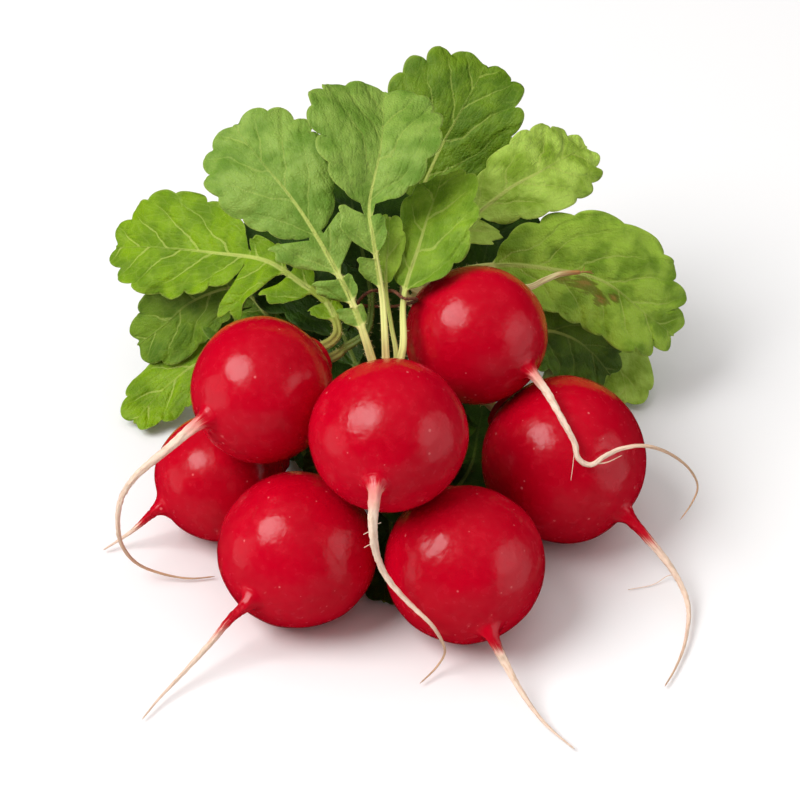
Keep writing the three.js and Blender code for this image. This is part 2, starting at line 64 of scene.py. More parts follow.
LOBE_TEETH = (0.14, 0.05)  # how deep the notches of wide and of narrow lobes are
SCALLOP_DEPTH = 0.12
STALK_STEP = 0.9
CLEAR_OF_FLOOR = 0.05
FAR_FROM_CROWN = 99.0
NECK_RADIUS = 3.7
NECK_SLOPE = 2.8
TAPROOT_FLARE = 0.42  # the share of its width that a taproot loses near the globe
TAPROOT_WAVES = ((0.05, 2.2), (0.035, 1.1))  # depth and wavelength of the skin's unevenness
GLOBE_WAVES = ((0.16, 21.0), (0.05, 7.0))
BLADE_WAVES = ((0.13, 4.6), (0.06, 2.2))
QUILT_DEPTH = 0.2
RUFFLE_DEPTH = 0.55

Point = tuple[float, float, float]
Colour = tuple[float, float, float, float]
Socket = bpy.types.NodeSocket


# Small sums


def unit(vectors: np.ndarray) -> np.ndarray:
    """Vectors with a length of one."""
    return vectors / np.maximum(np.linalg.norm(vectors, axis=-1, keepdims=True), 1e-12)


def smooth(share: np.ndarray | float) -> np.ndarray:
    """A share from 0 to 1 that starts and ends gently."""
    held = np.clip(share, 0.0, 1.0)
    return held * held * (3.0 - 2.0 * held)


def mix(start: np.ndarray | float, end: np.ndarray | float, share: np.ndarray | float) -> np.ndarray:
    """The value a share of the way from start to end."""
    return start + (end - start) * share


def ripples(points: np.ndarray, wavelength: float, seed: int, count: int = 9) -> np.ndarray:
    """A smooth, irregular height over points in space.

    Args:
        points: Places in millimetres, the last axis being x, y and z.
        wavelength: The mean distance from crest to crest, in millimetres.
        seed: Fixes the pattern.
        count: How many plane waves are added up.

    Returns:
        A height of about -1 to 1 for each point.
    """
    draw = np.random.default_rng(seed)
    ways = unit(draw.normal(size=(count, points.shape[-1])))
    total = np.zeros(points.shape[:-1])
    for way in ways:
        turns = points @ way / (wavelength * draw.uniform(0.7, 1.4))
        total += np.sin(2.0 * math.pi * (turns + draw.uniform()))
    return total / math.sqrt(count)


def waves(points: np.ndarray, sizes: tuple[tuple[float, float], ...], seed: int) -> np.ndarray:
    """Ripples of several sizes on top of each other, each one given as its depth and wavelength."""
    return sum(depth * ripples(points, length, seed + i) for i, (depth, length) in enumerate(sizes))


class Route:
    """A smooth curve through points, walked by its length in millimetres."""

    def __init__(self, points: list[Point] | np.ndarray, closed: bool = False, steps: int = 60) -> None:
        """Lays the curve.

        Args:
            points: The points that the curve passes through.
            closed: Whether it ends where it starts.
            steps: Straight pieces between two of its points.
        """
        knots = np.array(points, float)
        if closed:
            padded = np.vstack([knots[-1:], knots, knots[:2]])
        else:
            padded = np.vstack([2 * knots[0] - knots[1], knots, 2 * knots[-1] - knots[-2]])
        spans = [self._span(padded[i : i + 4], steps) for i in range(len(padded) - 3)]
        self.points = np.vstack([*spans, padded[-2][None]])
        gaps = np.linalg.norm(np.diff(self.points, axis=0), axis=1)
        self.marks = np.concatenate([[0.0], np.cumsum(gaps)])
        self.length = float(self.marks[-1])
        self.ways = unit(np.gradient(self.points, self.marks, axis=0))

    @staticmethod
    def _span(four: np.ndarray, steps: int) -> np.ndarray:
        """The curve between the middle two of four points."""
        before, within, after = np.diff(four, axis=0)
        first, middle, last = np.sqrt(np.linalg.norm(np.diff(four, axis=0), axis=1))
        leave = before / first - (before + within) / (first + middle) + within / middle
        reach = within / middle - (within + after) / (middle + last) + after / last
        t = (np.arange(steps) / steps)[:, None]
        place = (2 * t**3 - 3 * t**2 + 1) * four[1] + (3 * t**2 - 2 * t**3) * four[2]
        return place + (t**3 - 2 * t**2 + t) * leave * middle + (t**3 - t**2) * reach * middle

    def at(self, along: np.ndarray) -> np.ndarray:
        """Points at distances along the curve."""
        return np.stack([np.interp(along, self.marks, self.points[:, k]) for k in range(3)], axis=-1)

    def way(self, along: np.ndarray) -> np.ndarray:
        """The curve's direction at distances along it."""
        return unit(np.stack([np.interp(along, self.marks, self.ways[:, k]) for k in range(3)], axis=-1))


def carried(ways: np.ndarray, across: np.ndarray) -> tuple[np.ndarray, np.ndarray]:
    """Two crosswise directions for each step of a path, kept from twisting.

    Args:
        ways: The path's direction at each step.
        across: A direction across the path at its start.

    Returns:
        The first and the second crosswise direction of each step.
    """
    first = np.zeros_like(ways)
    held = across
    for i, way in enumerate(ways):
        held = unit(held - (held @ way) * way)
        first[i] = held
    return first, np.cross(ways, first)


def turns_round(sides: int) -> np.ndarray:
    """The turns of evenly spaced corners round a ring, in radians."""
    return np.arange(sides) / sides * 2 * math.pi


def spokes(first: np.ndarray, second: np.ndarray, turn: np.ndarray, flat: float = 1.0) -> np.ndarray:
    """Outward directions round each step of a path.

    Args:
        first: The first crosswise direction of each step.
        second: The second one.
        turn: The turns of the corners.
        flat: The height of a ring as a share of its width.

    Returns:
        The directions, as steps by turns by three.
    """
    return np.cos(turn)[None, :, None] * first[:, None] + flat * np.sin(turn)[None, :, None] * second[:, None]


def ring_faces(count: int, sides: int) -> list[tuple[int, ...]]:
    """The faces between rings of corners that follow each other."""
    return [
        (i * sides + j, i * sides + (j + 1) % sides, (i + 1) * sides + (j + 1) % sides, (i + 1) * sides + j)
        for i in range(count - 1)
        for j in range(sides)
    ]


def tube_skin(rings: np.ndarray) -> tuple[np.ndarray, list[tuple[int, ...]]]:
    """Joins rings of corners to a skin, closed at each end by a point in the middle.

    Args:
        rings: The corners, as rings by sides by three.

    Returns:
        The corners and the faces.
    """
    count, sides, _ = rings.shape
    points = np.vstack([rings.reshape(-1, 3), rings[0].mean(axis=0), rings[-1].mean(axis=0)])
    start, last = count * sides, (count - 1) * sides
    faces = ring_faces(count, sides)
    faces += [(start, (j + 1) % sides, j) for j in range(sides)]
    faces += [(start + 1, last + j, last + (j + 1) % sides) for j in range(sides)]
    return points, faces


def tube_runs(along: np.ndarray, sides: int) -> np.ndarray:
    """A ring's value for each of its corners, and for the two end points."""
    return np.concatenate([np.repeat(along, sides), [along[0], along[-1]]])


def tube_turns(turn: np.ndarray, rings: int) -> np.ndarray:
    """The turn of each corner, and none for the two end points."""
    return np.concatenate([np.tile(turn, rings), [0.0, 0.0]])


def rounded(turns: np.ndarray, radius: float, lengthwise: np.ndarray) -> np.ndarray:
    """Places on a tube of one radius that a material reads as a pattern's own space."""
    return np.stack([np.cos(turns) * radius, np.sin(turns) * radius, lengthwise], axis=-1)


def placed(name: str, data: bpy.types.ID) -> bpy.types.Object:
    """A new object of the scene, for a mesh, a lamp or a camera."""
    made = bpy.data.objects.new(name, data)
    bpy.context.collection.objects.link(made)
    return made


def plug(tree: bpy.types.NodeTree, socket: Socket, value: object) -> None:
    """Gives a socket a value, or joins it to another node's output."""
    if isinstance(value, Socket):
        tree.links.new(value, socket)
    else:
        socket.default_value = value


@dataclass
class Shell:
    """A closed mesh that is being made, in millimetres.

    Attributes:
        points: The corners.
        faces: Corner numbers, anticlockwise seen from outside.
        marks: Named values for each corner that materials read.
    """

    points: np.ndarray
    faces: list[tuple[int, ...]]
    marks: dict[str, np.ndarray] = field(default_factory=dict)

    def joined(self, other: Shell) -> Shell:
        """This mesh and another one that carries the same marks, as one."""
        start = len(self.points)
        faces = self.faces + [tuple(c + start for c in face) for face in other.faces]
        marks = {name: np.concatenate([values, other.marks[name]]) for name, values in self.marks.items()}
        return Shell(np.vstack([self.points, other.points]), faces, marks)

    def piece(self, name: str) -> bpy.types.Object:
        """Makes the mesh a Blender object in metres, in the model's own frame.

        Args:
            name: The object's name.

        Returns:
            The object, at the origin.
        """
        mesh = bpy.data.meshes.new(name)
        mesh.from_pydata(((self.points + SHIFT) * MM).tolist(), [], self.faces)
        for mark, values in self.marks.items():
            kind, key = ("FLOAT_VECTOR", "vector") if values.ndim == 2 else ("FLOAT", "value")
            layer = mesh.attributes.new(mark, kind, "POINT")
            layer.data.foreach_set(key, values.astype(np.float32).ravel())
        mesh.shade_smooth()
        mesh.update()
        return placed(name, mesh)


# Materials


class Finish:
    """A material under construction: one surface shader and the nodes that feed it."""

    def __init__(self, name: str) -> None:
        """Starts the material with its surface shader."""
        self.material = bpy.data.materials.new(name)
        self.material.use_nodes = True
        self.tree = self.material.node_tree
        self.tree.nodes.clear()
        output = self.tree.nodes.new("ShaderNodeOutputMaterial")
        self.surface = self.tree.nodes.new("ShaderNodeBsdfPrincipled")
        self.tree.links.new(self.surface.outputs["BSDF"], output.inputs["Surface"])

    def node(self, kind: str, inputs: dict[int | str, object], **options: object) -> bpy.types.Node:
        """Adds a node.

        Args:
            kind: Blender's name of the node type, without the part that all of them start with.
            inputs: Values or outputs for its inputs, by number or name.
            **options: Settings of the node.

        Returns:
            The node.
        """
        made = self.tree.nodes.new(f"ShaderNode{kind}")
        for option, choice in options.items():
            setattr(made, option, choice)
        for socket, value in inputs.items():
            plug(self.tree, made.inputs[socket], value)
        return made

    def shader(self, **values: object) -> None:
        """Sets sockets of the surface shader, an underscore standing for a space."""
        for name, value in values.items():
            plug(self.tree, self.surface.inputs[name.replace("_", " ")], value)

    def sum(self, operation: str, *values: object) -> Socket:
        """One sum of numbers, such as ADD or MULTIPLY."""
        return self.node("Math", dict(enumerate(values)), operation=operation).outputs[0]

    def times(self, *factors: object) -> Socket:
        """The product of two or more numbers."""
        product = factors[0]
        for factor in factors[1:]:
            product = self.sum("MULTIPLY", product, factor)
        return product

    def sway(self, noise: Socket, reach: object) -> Socket:
        """Noise that goes to both sides of nothing, half the reach each way."""
        return self.times(self.sum("SUBTRACT", noise, 0.5), reach)

    def parts(self, vector: Socket) -> tuple[Socket, ...]:
        """The three numbers of a vector."""
        return tuple(self.node("SeparateXYZ", {0: vector}).outputs)

    def vector(self, *numbers: object) -> Socket:
        """A vector of three numbers."""
        return self.node("CombineXYZ", dict(enumerate(numbers))).outputs[0]

    def mark(self, name: str, vector: bool = False) -> Socket:
        """A value that the mesh carries at its corners."""
        return self.node("Attribute", {}, attribute_name=name).outputs["Vector" if vector else "Fac"]

    def place(self) -> Socket:
        """The place on the object, in millimetres."""
        at = self.node("TexCoord", {}).outputs["Object"]
        return self.node("VectorMath", {0: at, "Scale": 1.0 / MM}, operation="SCALE").outputs[0]

    def strokes(self, vector: Socket) -> Socket:
        """The place, stretched one way, so that cells on it become short strokes."""
        x, y, z = self.parts(vector)
        turned = self.sum("ADD", self.times(x, 0.35), self.times(z, 0.35))
        return self.vector(turned, self.times(y, 1.6), self.sum("SUBTRACT", z, x))

    def noise(self, vector: Socket, scale: float, detail: float = 2.0) -> Socket:
        """Soft noise from 0 to 1, scale being its waves for each unit of the vector."""
        return self.node("TexNoise", {"Vector": vector, "Scale": scale, "Detail": detail}).outputs["Fac"]

    def cells(self, vector: Socket, scale: float, feature: str = "F1") -> bpy.types.bpy_prop_collection:
        """Cells, with the distance to their centres or to their edges."""
        return self.node("TexVoronoi", {"Vector": vector, "Scale": scale}, feature=feature).outputs

    def step(self, value: object, low: object, high: object, start: float = 0.0, end: float = 1.0) -> Socket:
        """A smooth step from start to end while the value goes from low to high."""
        numbers = dict(enumerate((value, low, high, start, end)))
        return self.node("MapRange", numbers, interpolation_type="SMOOTHSTEP").outputs[0]

    def blend(self, share: object, first: object, second: object) -> Socket:
        """A colour between two colours."""
        return self.node("Mix", {0: share, 6: first, 7: second}, data_type="RGBA").outputs[2]

    def layers(self, colour: object, *coats: tuple[object, object]) -> Socket:
        """A colour with others laid over it, each one with its share."""
        for share, over in coats:
            colour = self.blend(share, colour, over)
        return colour

    def ramp(self, share: Socket, stops: list[tuple[float, Colour]]) -> Socket:
        """A colour read from stops along a share."""
        node = self.node("ValToRGB", {0: share})
        stop_list = node.color_ramp.elements
        while len(stop_list) < len(stops):
            stop_list.new(0.5)
        for element, (position, colour) in zip(stop_list, stops):
            element.position = position
            element.color = colour
        return node.outputs[0]

    def relief(self, *folds: tuple[Socket, float]) -> Socket:
        """A bumpy surface from heights and their depths in millimetres, the finest ones first."""
        normal = None
        for height, depth in folds:
            inputs = {"Strength": 1.0, "Distance": depth * MM, "Height": height}
            if normal is not None:
                inputs["Normal"] = normal
            normal = self.node("Bump", inputs).outputs[0]
        return normal


def tint(red: float, green: float, blue: float) -> Colour:
    """A colour as red, green and blue light, without alpha."""
    return (red, green, blue, 1.0)


@dataclass(frozen=True)
class RadishSkin:
    """Smooth red skin that fades to cream along the taproot.

    Attributes:
        red: The skin's main red.
        deep: The darker red of its clouds and streaks.
        bright: The lighter red of its mottle.
        speck: Pores and scratches.
        blush: The taproot where it starts to fade.
        pink: The taproot a little further on.
        cream: Most of the taproot.
        tan: The taproot's fibres and tip.
        neck: The crown's neck.
        smoothest: The lowest roughness.
        roughest: The highest roughness.
    """

    red: Colour = tint(0.55, 0.0002, 0.014)
    deep: Colour = tint(0.42, 0.0002, 0.008)
    bright: Colour = tint(0.68, 0.002, 0.022)
    speck: Colour = tint(0.85, 0.22, 0.22)
    blush: Colour = tint(0.75, 0.09, 0.1)
    pink: Colour = tint(0.84, 0.3, 0.26)
    cream: Colour = tint(0.9, 0.68, 0.53)
    tan: Colour = tint(0.68, 0.43, 0.26)
    neck: Colour = tint(0.55, 0.2, 0.1)
    smoothest: float = 0.18
    roughest: float = 0.28

    def material(self) -> bpy.types.Material:
        """The skin's material."""
        finish = Finish("radish_skin")
        place = finish.place()
        run = finish.mark("root_run")
        cloud = finish.noise(place, 0.06, 1.5)
        mottle = finish.noise(place, 0.5, 4.0)
        streak = finish.noise(finish.mark("root_around", vector=True), 1.0, 4.0)
        fibres = finish.noise(finish.mark("root_grain", vector=True), 1.0, 3.0)
        pale = finish.sum("ADD", finish.mark("root_pale"), finish.sway(streak, 1.3))
        root = finish.ramp(
            finish.step(run, 0.0, 60.0),
            [(0.0, self.blush), (0.008, self.pink), (0.035, self.cream), (0.6, self.cream),
             (1.0, self.tan)],
        )
        root = finish.blend(finish.step(fibres, 0.45, 0.75, 0.0, 0.55), root, self.tan)
        colour = finish.layers(
            self.red,
            (finish.step(cloud, 0.3, 0.75, 0.0, 0.45), self.deep),
            (finish.step(mottle, 0.45, 0.75, 0.0, 0.2), self.bright),
            (finish.step(streak, 0.5, 0.75, 0.0, 0.2), self.deep),
            (self.pores(finish, place), self.speck),
            (self.nicks(finish, place), self.speck),
            (finish.step(pale, 0.25, 0.75), root),
            (finish.step(finish.mark("crown_run"), 3.0, 4.5, 0.7, 0.0), self.neck),
        )
        rough = finish.step(finish.noise(place, 0.5, 1.0), 0.3, 0.7, self.smoothest, self.roughest)
        rough = finish.sum("ADD", rough, finish.step(pale, 0.4, 1.0, 0.0, 0.25))
        normal = finish.relief(
            (finish.noise(place, 1.3, 1.0), 0.022),
            (finish.noise(place, 0.3, 2.0), 0.2),
            (finish.times(fibres, finish.step(run, -2.0, 4.0)), 0.35),
        )
        finish.shader(
            Base_Color=colour, Roughness=rough, Normal=normal, Subsurface_Weight=0.03,
            Subsurface_Radius=(1.0, 0.25, 0.15), Subsurface_Scale=0.002,
            Coat_Weight=0.06, Coat_Roughness=0.12, Specular_IOR_Level=0.26,
        )
        return finish.material

    def pores(self, finish: Finish, place: Socket) -> Socket:
        """Small pale dots, few and of different sizes."""
        dots = finish.cells(place, 0.38)
        few, size, _ = finish.parts(dots["Color"])
        dot = finish.sum("LESS_THAN", dots["Distance"], finish.step(size, 0.0, 1.0, 0.06, 0.13))
        return finish.times(dot, finish.step(few, 0.55, 0.6), 0.55)

    def nicks(self, finish: Finish, place: Socket) -> Socket:
        """Faint short scratches."""
        strokes = finish.cells(finish.strokes(place), 0.3)
        few = finish.step(finish.parts(strokes["Color"])[2], 0.7, 0.75)
        return finish.times(finish.step(strokes["Distance"], 0.03, 0.1, 1.0, 0.0), few, 0.22)


class LeafTone(Enum):
    """The kinds of green in the bunch, partly the leaves' own tones and partly painted light and shade."""

    GREY = "leaf_grey_green"
    LIGHT = "leaf_light_green"
    FRESH = "leaf_fresh_green"
    BRIGHT = "leaf_bright_green"
    # The next two tones are painted shade, for leaves that lie in shadow.
    PAINTED_HALF_SHADE = "leaf_painted_half_shade_green"
    SHADED = "leaf_painted_full_shade_green"
    MOSS = "leaf_moss_green"
    PALE = "leaf_pale_green"


@dataclass(frozen=True)
class LeafGreen:
    """A leaf's blade, veins and stalk.

    Attributes:
        blade: The blade's main green.
        shade: The darker green of its clouds, fine net and stalk lines, and the painted shade in its creases.
        veins: How plainly the side veins show, from 0 to 1.
        stalk: The stalk's pale green.
        foot: The stalk's colour where it leaves the crown.
        vein: The midrib and the side veins.
        back: The paler underside.
        withered: Withered tissue.
        yellow: The tissue round it.
    """

    blade: Colour
    shade: Colour
    veins: float
    stalk: Colour = tint(0.78, 0.78, 0.28)
    foot: Colour = tint(0.88, 0.74, 0.34)
    vein: Colour = tint(0.5, 0.58, 0.13)
    back: Colour = tint(0.3, 0.4, 0.14)
    withered: Colour = tint(0.3, 0.19, 0.03)
    yellow: Colour = tint(0.13, 0.13, 0.004)

    def material(self, tone: LeafTone) -> bpy.types.Material:
        """The material of leaves of one tone.

        Args:
            tone: The tone, which names the material.

        Returns:
            The material.
        """
        finish = Finish(tone.value)
        place = finish.place()
        across, vein_run, edge = finish.parts(finish.mark("leaf_net", vector=True))
        blade, up, under = finish.parts(finish.mark("leaf_run", vector=True))
        cloud = finish.noise(place, 0.16, 3.0)
        wander = finish.sway(finish.noise(place, 0.3, 2.0), 0.25)
        phase = finish.sum("FRACT", finish.sum("ADD", vein_run, wander))
        off = finish.sum("ABSOLUTE", finish.sum("SUBTRACT", phase, 0.5))
        crease = finish.step(off, 0.04, 0.2, 1.0, 0.0)
        net_place = finish.vector(across, finish.times(vein_run, 4.0), 0.0)
        net = finish.cells(net_place, 0.5, "DISTANCE_TO_EDGE")["Distance"]
        small = finish.cells(place, 1.25, "DISTANCE_TO_EDGE")["Distance"]
        side_vein = finish.sum("LESS_THAN", off, finish.step(edge, 0.0, 1.0, 0.042, 0.012))
        vein_fade = finish.step(edge, 0.35, 0.95, self.veins, 0.15 * self.veins)
        streak_place = finish.vector(finish.times(across, 1.1), finish.times(up, 14.0), 0.0)
        streaks = finish.noise(streak_place, 1.0, 4.0)
        wither = finish.mark("leaf_wither")
        old = finish.sum("ADD", wither, finish.sway(streaks, finish.step(wither, 0.0, 0.3, 0.0, 2.0)))
        rib_reach = finish.sum("SUBTRACT", 1.15, up)
        rib = finish.step(finish.sum("ABSOLUTE", across), finish.times(rib_reach, 0.5), rib_reach, 1.0, 0.0)
        line_place = finish.vector(finish.times(across, 2.2), finish.times(up, 6.0), under)
        lines = finish.noise(line_place, 1.0, 3.0)
        stalk = finish.layers(
            self.foot,
            (finish.step(up, 0.03, 0.2), self.stalk),
            (finish.step(up, 0.2, 0.5, 0.0, 0.85), self.vein),
            (finish.step(lines, 0.45, 0.65, 0.0, 0.22), self.shade),
        )
        colour = finish.layers(
            self.blade,
            (finish.step(cloud, 0.35, 0.68), self.shade),
            # Painted shade: the blade darker along its side-vein creases.
            (finish.times(crease, 0.12), self.shade),
            (finish.times(finish.step(net, 0.0, 0.09, 1.0, 0.0), 0.22 * self.veins), self.vein),
            (finish.times(finish.step(small, 0.0, 0.12, 1.0, 0.0), 0.14), self.shade),
            (finish.times(side_vein, vein_fade), self.vein),
            (finish.step(edge, 0.95, 1.0, 0.0, 0.25), self.vein),
            (finish.step(old, 0.25, 0.6, 0.0, 0.75), self.yellow),
            (finish.step(old, 0.65, 1.0, 0.0, 0.8), self.withered),
            (finish.times(under, 0.6), self.back),
            (finish.times(rib, finish.step(up, 0.55, 0.85, 0.9, 0.15)), self.vein),
            (finish.step(blade, 0.0, 0.8, 1.0, 0.0), stalk),
        )
        normal = finish.relief(
            (finish.times(finish.step(net, 0.0, 0.35), blade), 0.1),
            (finish.times(finish.step(small, 0.0, 0.3), blade), 0.07),
            (finish.times(crease, blade), -0.1),
            (finish.times(lines, finish.sum("SUBTRACT", 1.0, blade)), 0.03),
        )
        finish.shader(
            Base_Color=colour, Roughness=finish.step(cloud, 0.3, 0.7, 0.5, 0.62), Normal=normal,
            Subsurface_Weight=0.12, Subsurface_Radius=(0.5, 0.8, 0.2), Subsurface_Scale=0.001,
            Specular_IOR_Level=0.22,
        )
        return finish.material


@dataclass(frozen=True)
class DryStraw:
    """Withered stalk.

    Attributes:
        straw: Its pale main colour.
        line: The darker lines along it.
        brown: The frayed end.
    """

    straw: Colour = tint(0.86, 0.77, 0.38)
    line: Colour = tint(0.6, 0.45, 0.2)
    brown: Colour = tint(0.5, 0.22, 0.06)

    def material(self) -> bpy.types.Material:
        """The dry stalk's material."""
        finish = Finish("dry_stalk")
        grain = finish.noise(finish.mark("root_grain", vector=True), 1.0, 4.0)
        end = finish.sum("ADD", finish.mark("dry_end"), finish.sway(grain, 0.2))
        colour = finish.layers(
            self.straw, (finish.step(grain, 0.4, 0.7), self.line), (finish.step(end, 0.8, 0.98), self.brown)
        )
        finish.shader(Base_Color=colour, Roughness=0.75, Normal=finish.relief((grain, 0.2)))
        return finish.material


@dataclass(frozen=True)
class StrandFibre:
    """Reddish brown twisted fibre.

    Attributes:
        light: The lighter fibres.
        dark: The darker ones.
    """

    light: Colour = tint(0.22, 0.075, 0.03)
    dark: Colour = tint(0.09, 0.028, 0.014)

    def material(self) -> bpy.types.Material:
        """The strand's material."""
        finish = Finish("tie_fibre")
        grain = finish.noise(finish.place(), 1.6, 5.0)
        colour = finish.blend(finish.step(grain, 0.4, 0.65), self.light, self.dark)
        finish.shader(Base_Color=colour, Roughness=0.85, Normal=finish.relief((grain, 0.12)))
        return finish.material


# Roots


@dataclass
class SideRoot:
    """A thin root that leaves a taproot.

    Attributes:
        share: Where it leaves, as a share of the taproot's length.
        points: Its further points, from that place, in millimetres.
        thick: Its radius at the start.
        tip: Its radius at the end.
        rings: Rings along it.
        sides: Corners of each ring.
    """

    share: float
    points: list[Point]
    thick: float = 0.24
    tip: float = 0.07
    rings: int = 26
    sides: int = 7


@dataclass
class Radish:
    """One root: globe, crown and taproot in one skin, sizes in millimetres.

    Attributes:
        name: The name of the node that it replaces.
        centre: The globe's centre.
        radius: The globe's radius.
        root: The way the taproot leaves.
        taproot: Points that the taproot passes through.
        crown: The way the crown faces, if it isn't opposite the taproot.
        fade: The run along the taproot, in millimetres, over which red turns to cream.
        side_roots: Thin roots that leave the taproot.
        swell: How much wider than a ball it is sideways, upwards and downwards, as shares.
        base: The taproot's radius where it leaves the globe.
        tip: The radius of the taproot's tip.
        sides: Corners of each ring of the skin.
        crown_rings: Rings near the crown's pole.
        globe_rings: Rings of the rest of the globe.
        funnel_rings: Rings of the funnel between the globe and the taproot.
        root_rings: Rings of the taproot.
        funnel_radius: The funnel's radius where it leaves the globe.
        funnel_reach: How far past the globe the funnel ends.
        funnel_handles: How far the funnel keeps its slope at the globe and at the taproot.
        lead: How far past the globe the taproot still runs straight.
    """

    name: str
    centre: Point
    radius: float
    root: Point
    taproot: list[Point]
    crown: Point | None = None
    fade: tuple[float, float] = (-1.0, 4.0)
    side_roots: list[SideRoot] = field(default_factory=list)
    swell: tuple[float, float, float] = (0.02, 0.01, 0.01)
    base: float = 1.9
    tip: float = 0.16
    sides: int = 64
    crown_rings: int = 26
    globe_rings: int = 52
    funnel_rings: int = 16
    root_rings: int = 130
    funnel_radius: float = 4.7
    funnel_reach: float = 4.0
    funnel_handles: tuple[float, float] = (2.6, 2.4)
    lead: float = 1.5

    @property
    def seed(self) -> int:
        """A number of its own for each root."""
        return sum(ord(letter) * (i + 1) for i, letter in enumerate(self.name))

    def crown_way(self) -> np.ndarray:
        """The way the crown faces."""
        return unit(np.array(self.crown)) if self.crown else -unit(np.array(self.root))

    def route(self) -> Route:
        """The taproot's middle line, from inside the globe to the tip."""
        axis = unit(np.array(self.root))
        centre = np.array(self.centre)
        start = centre + axis * (self.radius - TAPROOT_SUNK)
        leave = centre + axis * (self.radius + self.lead)
        return Route(np.vstack([start, leave, np.array(self.taproot)]))

    def stalk_route(self, seat: float, points: list[Point]) -> Route:
        """The middle line of a stalk that grows on the crown.

        Args:
            seat: The angle of its seat round the crown, in degrees.
            points: Its points after the seat.

        Returns:
            The line, from the seat to its last point.
        """
        away = self.crown_way()
        right = unit(np.cross(away, [0.0, 0.0, 1.0]))
        up = np.cross(right, away)
        turn = math.radians(seat)
        at = np.array(self.centre) + away * (self.radius * CROWN_FLATTEN + NECK_HEIGHT + SEAT_GAP)
        at = at + right * math.cos(turn) * SEAT_RADIUS + up * math.sin(turn) * SEAT_RADIUS
        return Route(np.vstack([at, at + away * SEAT_LEAD, np.array(points)]))

    def thickness(self, along: np.ndarray, length: float) -> np.ndarray:
        """The taproot's radius at distances along its route."""
        share = np.clip(along / length, 0.0, 1.0)
        near = TAPROOT_FLARE * np.exp(-np.maximum(along - TAPROOT_SUNK, 0.0) / 4.5)
        slim = near + (1.0 - TAPROOT_FLARE) * (1.0 - share) ** 1.15
        return (self.tip + (self.base - self.tip) * slim) * (1.0 - 0.75 * smooth((share - 0.985) / 0.015))

    def profile(self, length: float) -> tuple[np.ndarray, np.ndarray]:
        """The outline from the crown's pole to the taproot's tip.

        Args:
            length: The length of the taproot's route.

        Returns:
            Heights along the axis over the globe's centre, and the radius at each.
        """
        r = self.radius
        bend = math.asin(self.funnel_radius / r)
        pole, turn = math.radians(0.5), math.radians(24.0)
        angles = np.concatenate([
            np.linspace(pole, turn, self.crown_rings, endpoint=False),
            np.linspace(turn, math.pi - bend, self.globe_rings),
        ])
        flat = np.where(angles < math.pi / 2, CROWN_FLATTEN, 1.0)
        heights, radii = -r * np.cos(angles) * flat, r * np.sin(angles)
        far = r + self.funnel_reach
        along = far - (r - TAPROOT_SUNK)
        narrow = float(self.thickness(np.array(along), length))
        wide, slender = self.funnel_handles
        corners = np.array([
            (r * math.cos(bend), self.funnel_radius),
            (r * math.cos(bend) + wide * math.sin(bend), self.funnel_radius - wide * math.cos(bend)),
            (far - slender, narrow + 0.18),
            (far, narrow),
        ])
        t = np.linspace(0, 1, self.funnel_rings + 1)[1:, None]
        curve = (1 - t) ** 3 * corners[0] + 3 * (1 - t) ** 2 * t * corners[1]
        curve = curve + 3 * (1 - t) * t**2 * corners[2] + t**3 * corners[3]
        run = mix(along, length, np.linspace(0, 1, self.root_rings + 1)[1:] ** 1.15)
        heights = np.concatenate([heights, curve[:, 0], run + r - TAPROOT_SUNK])
        radii = np.concatenate([radii, curve[:, 1], self.thickness(run, length)])
        return heights, radii

    def shell(self) -> Shell:
        """The whole root as one closed skin with the values its material reads."""
        route = self.route()
        heights, radii = self.profile(route.length)
        axis, centre = unit(np.array(self.root)), np.array(self.centre)
        along = heights - (self.radius - TAPROOT_SUNK)
        leaving = smooth((heights - self.radius + 0.5) / 4.5)[:, None]
        middles = mix(centre + heights[:, None] * axis, route.at(np.maximum(along, 0)), leaving)
        ways = unit(mix(axis, route.way(np.maximum(along, 0)), leaving))
        across = unit(np.cross(axis, np.array([0.03, 0.2, 1.0])))
        first, second = carried(ways, across)
        turn = turns_round(self.sides)
        out = spokes(first, second, turn)
        run = np.where(heights > self.radius, heights - self.radius, 0.0)
        arc = np.arctan2(radii, np.maximum(heights, 1e-3)) * self.radius
        run = np.where(heights > self.radius, run, -arc)
        slim = smooth((run + 2.0) / 5.0)
        folds = np.sin(5 * turn[None] + 0.5 * run[:, None] + self.seed) * 0.05
        folds = folds + np.sin(3 * turn[None] - 0.23 * run[:, None] + 2.0 * self.seed) * 0.04
        wide = radii[:, None] * (1.0 + folds * slim[:, None])
        rings = middles[:, None] + out * wide[..., None]
        rough = waves(rings, TAPROOT_WAVES, self.seed)
        rings = rings + out * (rough * np.minimum(1.0, radii / 0.9)[:, None] * slim[:, None])[..., None]
        bare = (1.0 - slim)[:, None]
        soft = waves(rings, GLOBE_WAVES, self.seed + 2)
        away = rings - centre
        grown = away * np.array([self.swell[0], 0.0, 0.0])
        grown[..., 2] = away[..., 2] * np.where(away[..., 2] > 0, self.swell[1], self.swell[2])
        rings = rings + grown * bare[..., None] + unit(away) * (soft * bare)[..., None]
        rings = self.with_neck(rings, heights)
        points, faces = tube_skin(rings)
        points[:, 2] = np.maximum(points[:, 2], 0.0)
        made = Shell(points, faces, self.marks(points, run, turn))
        for thin in self.side_roots:
            made = made.joined(self.side_shell(thin, route))
        return made

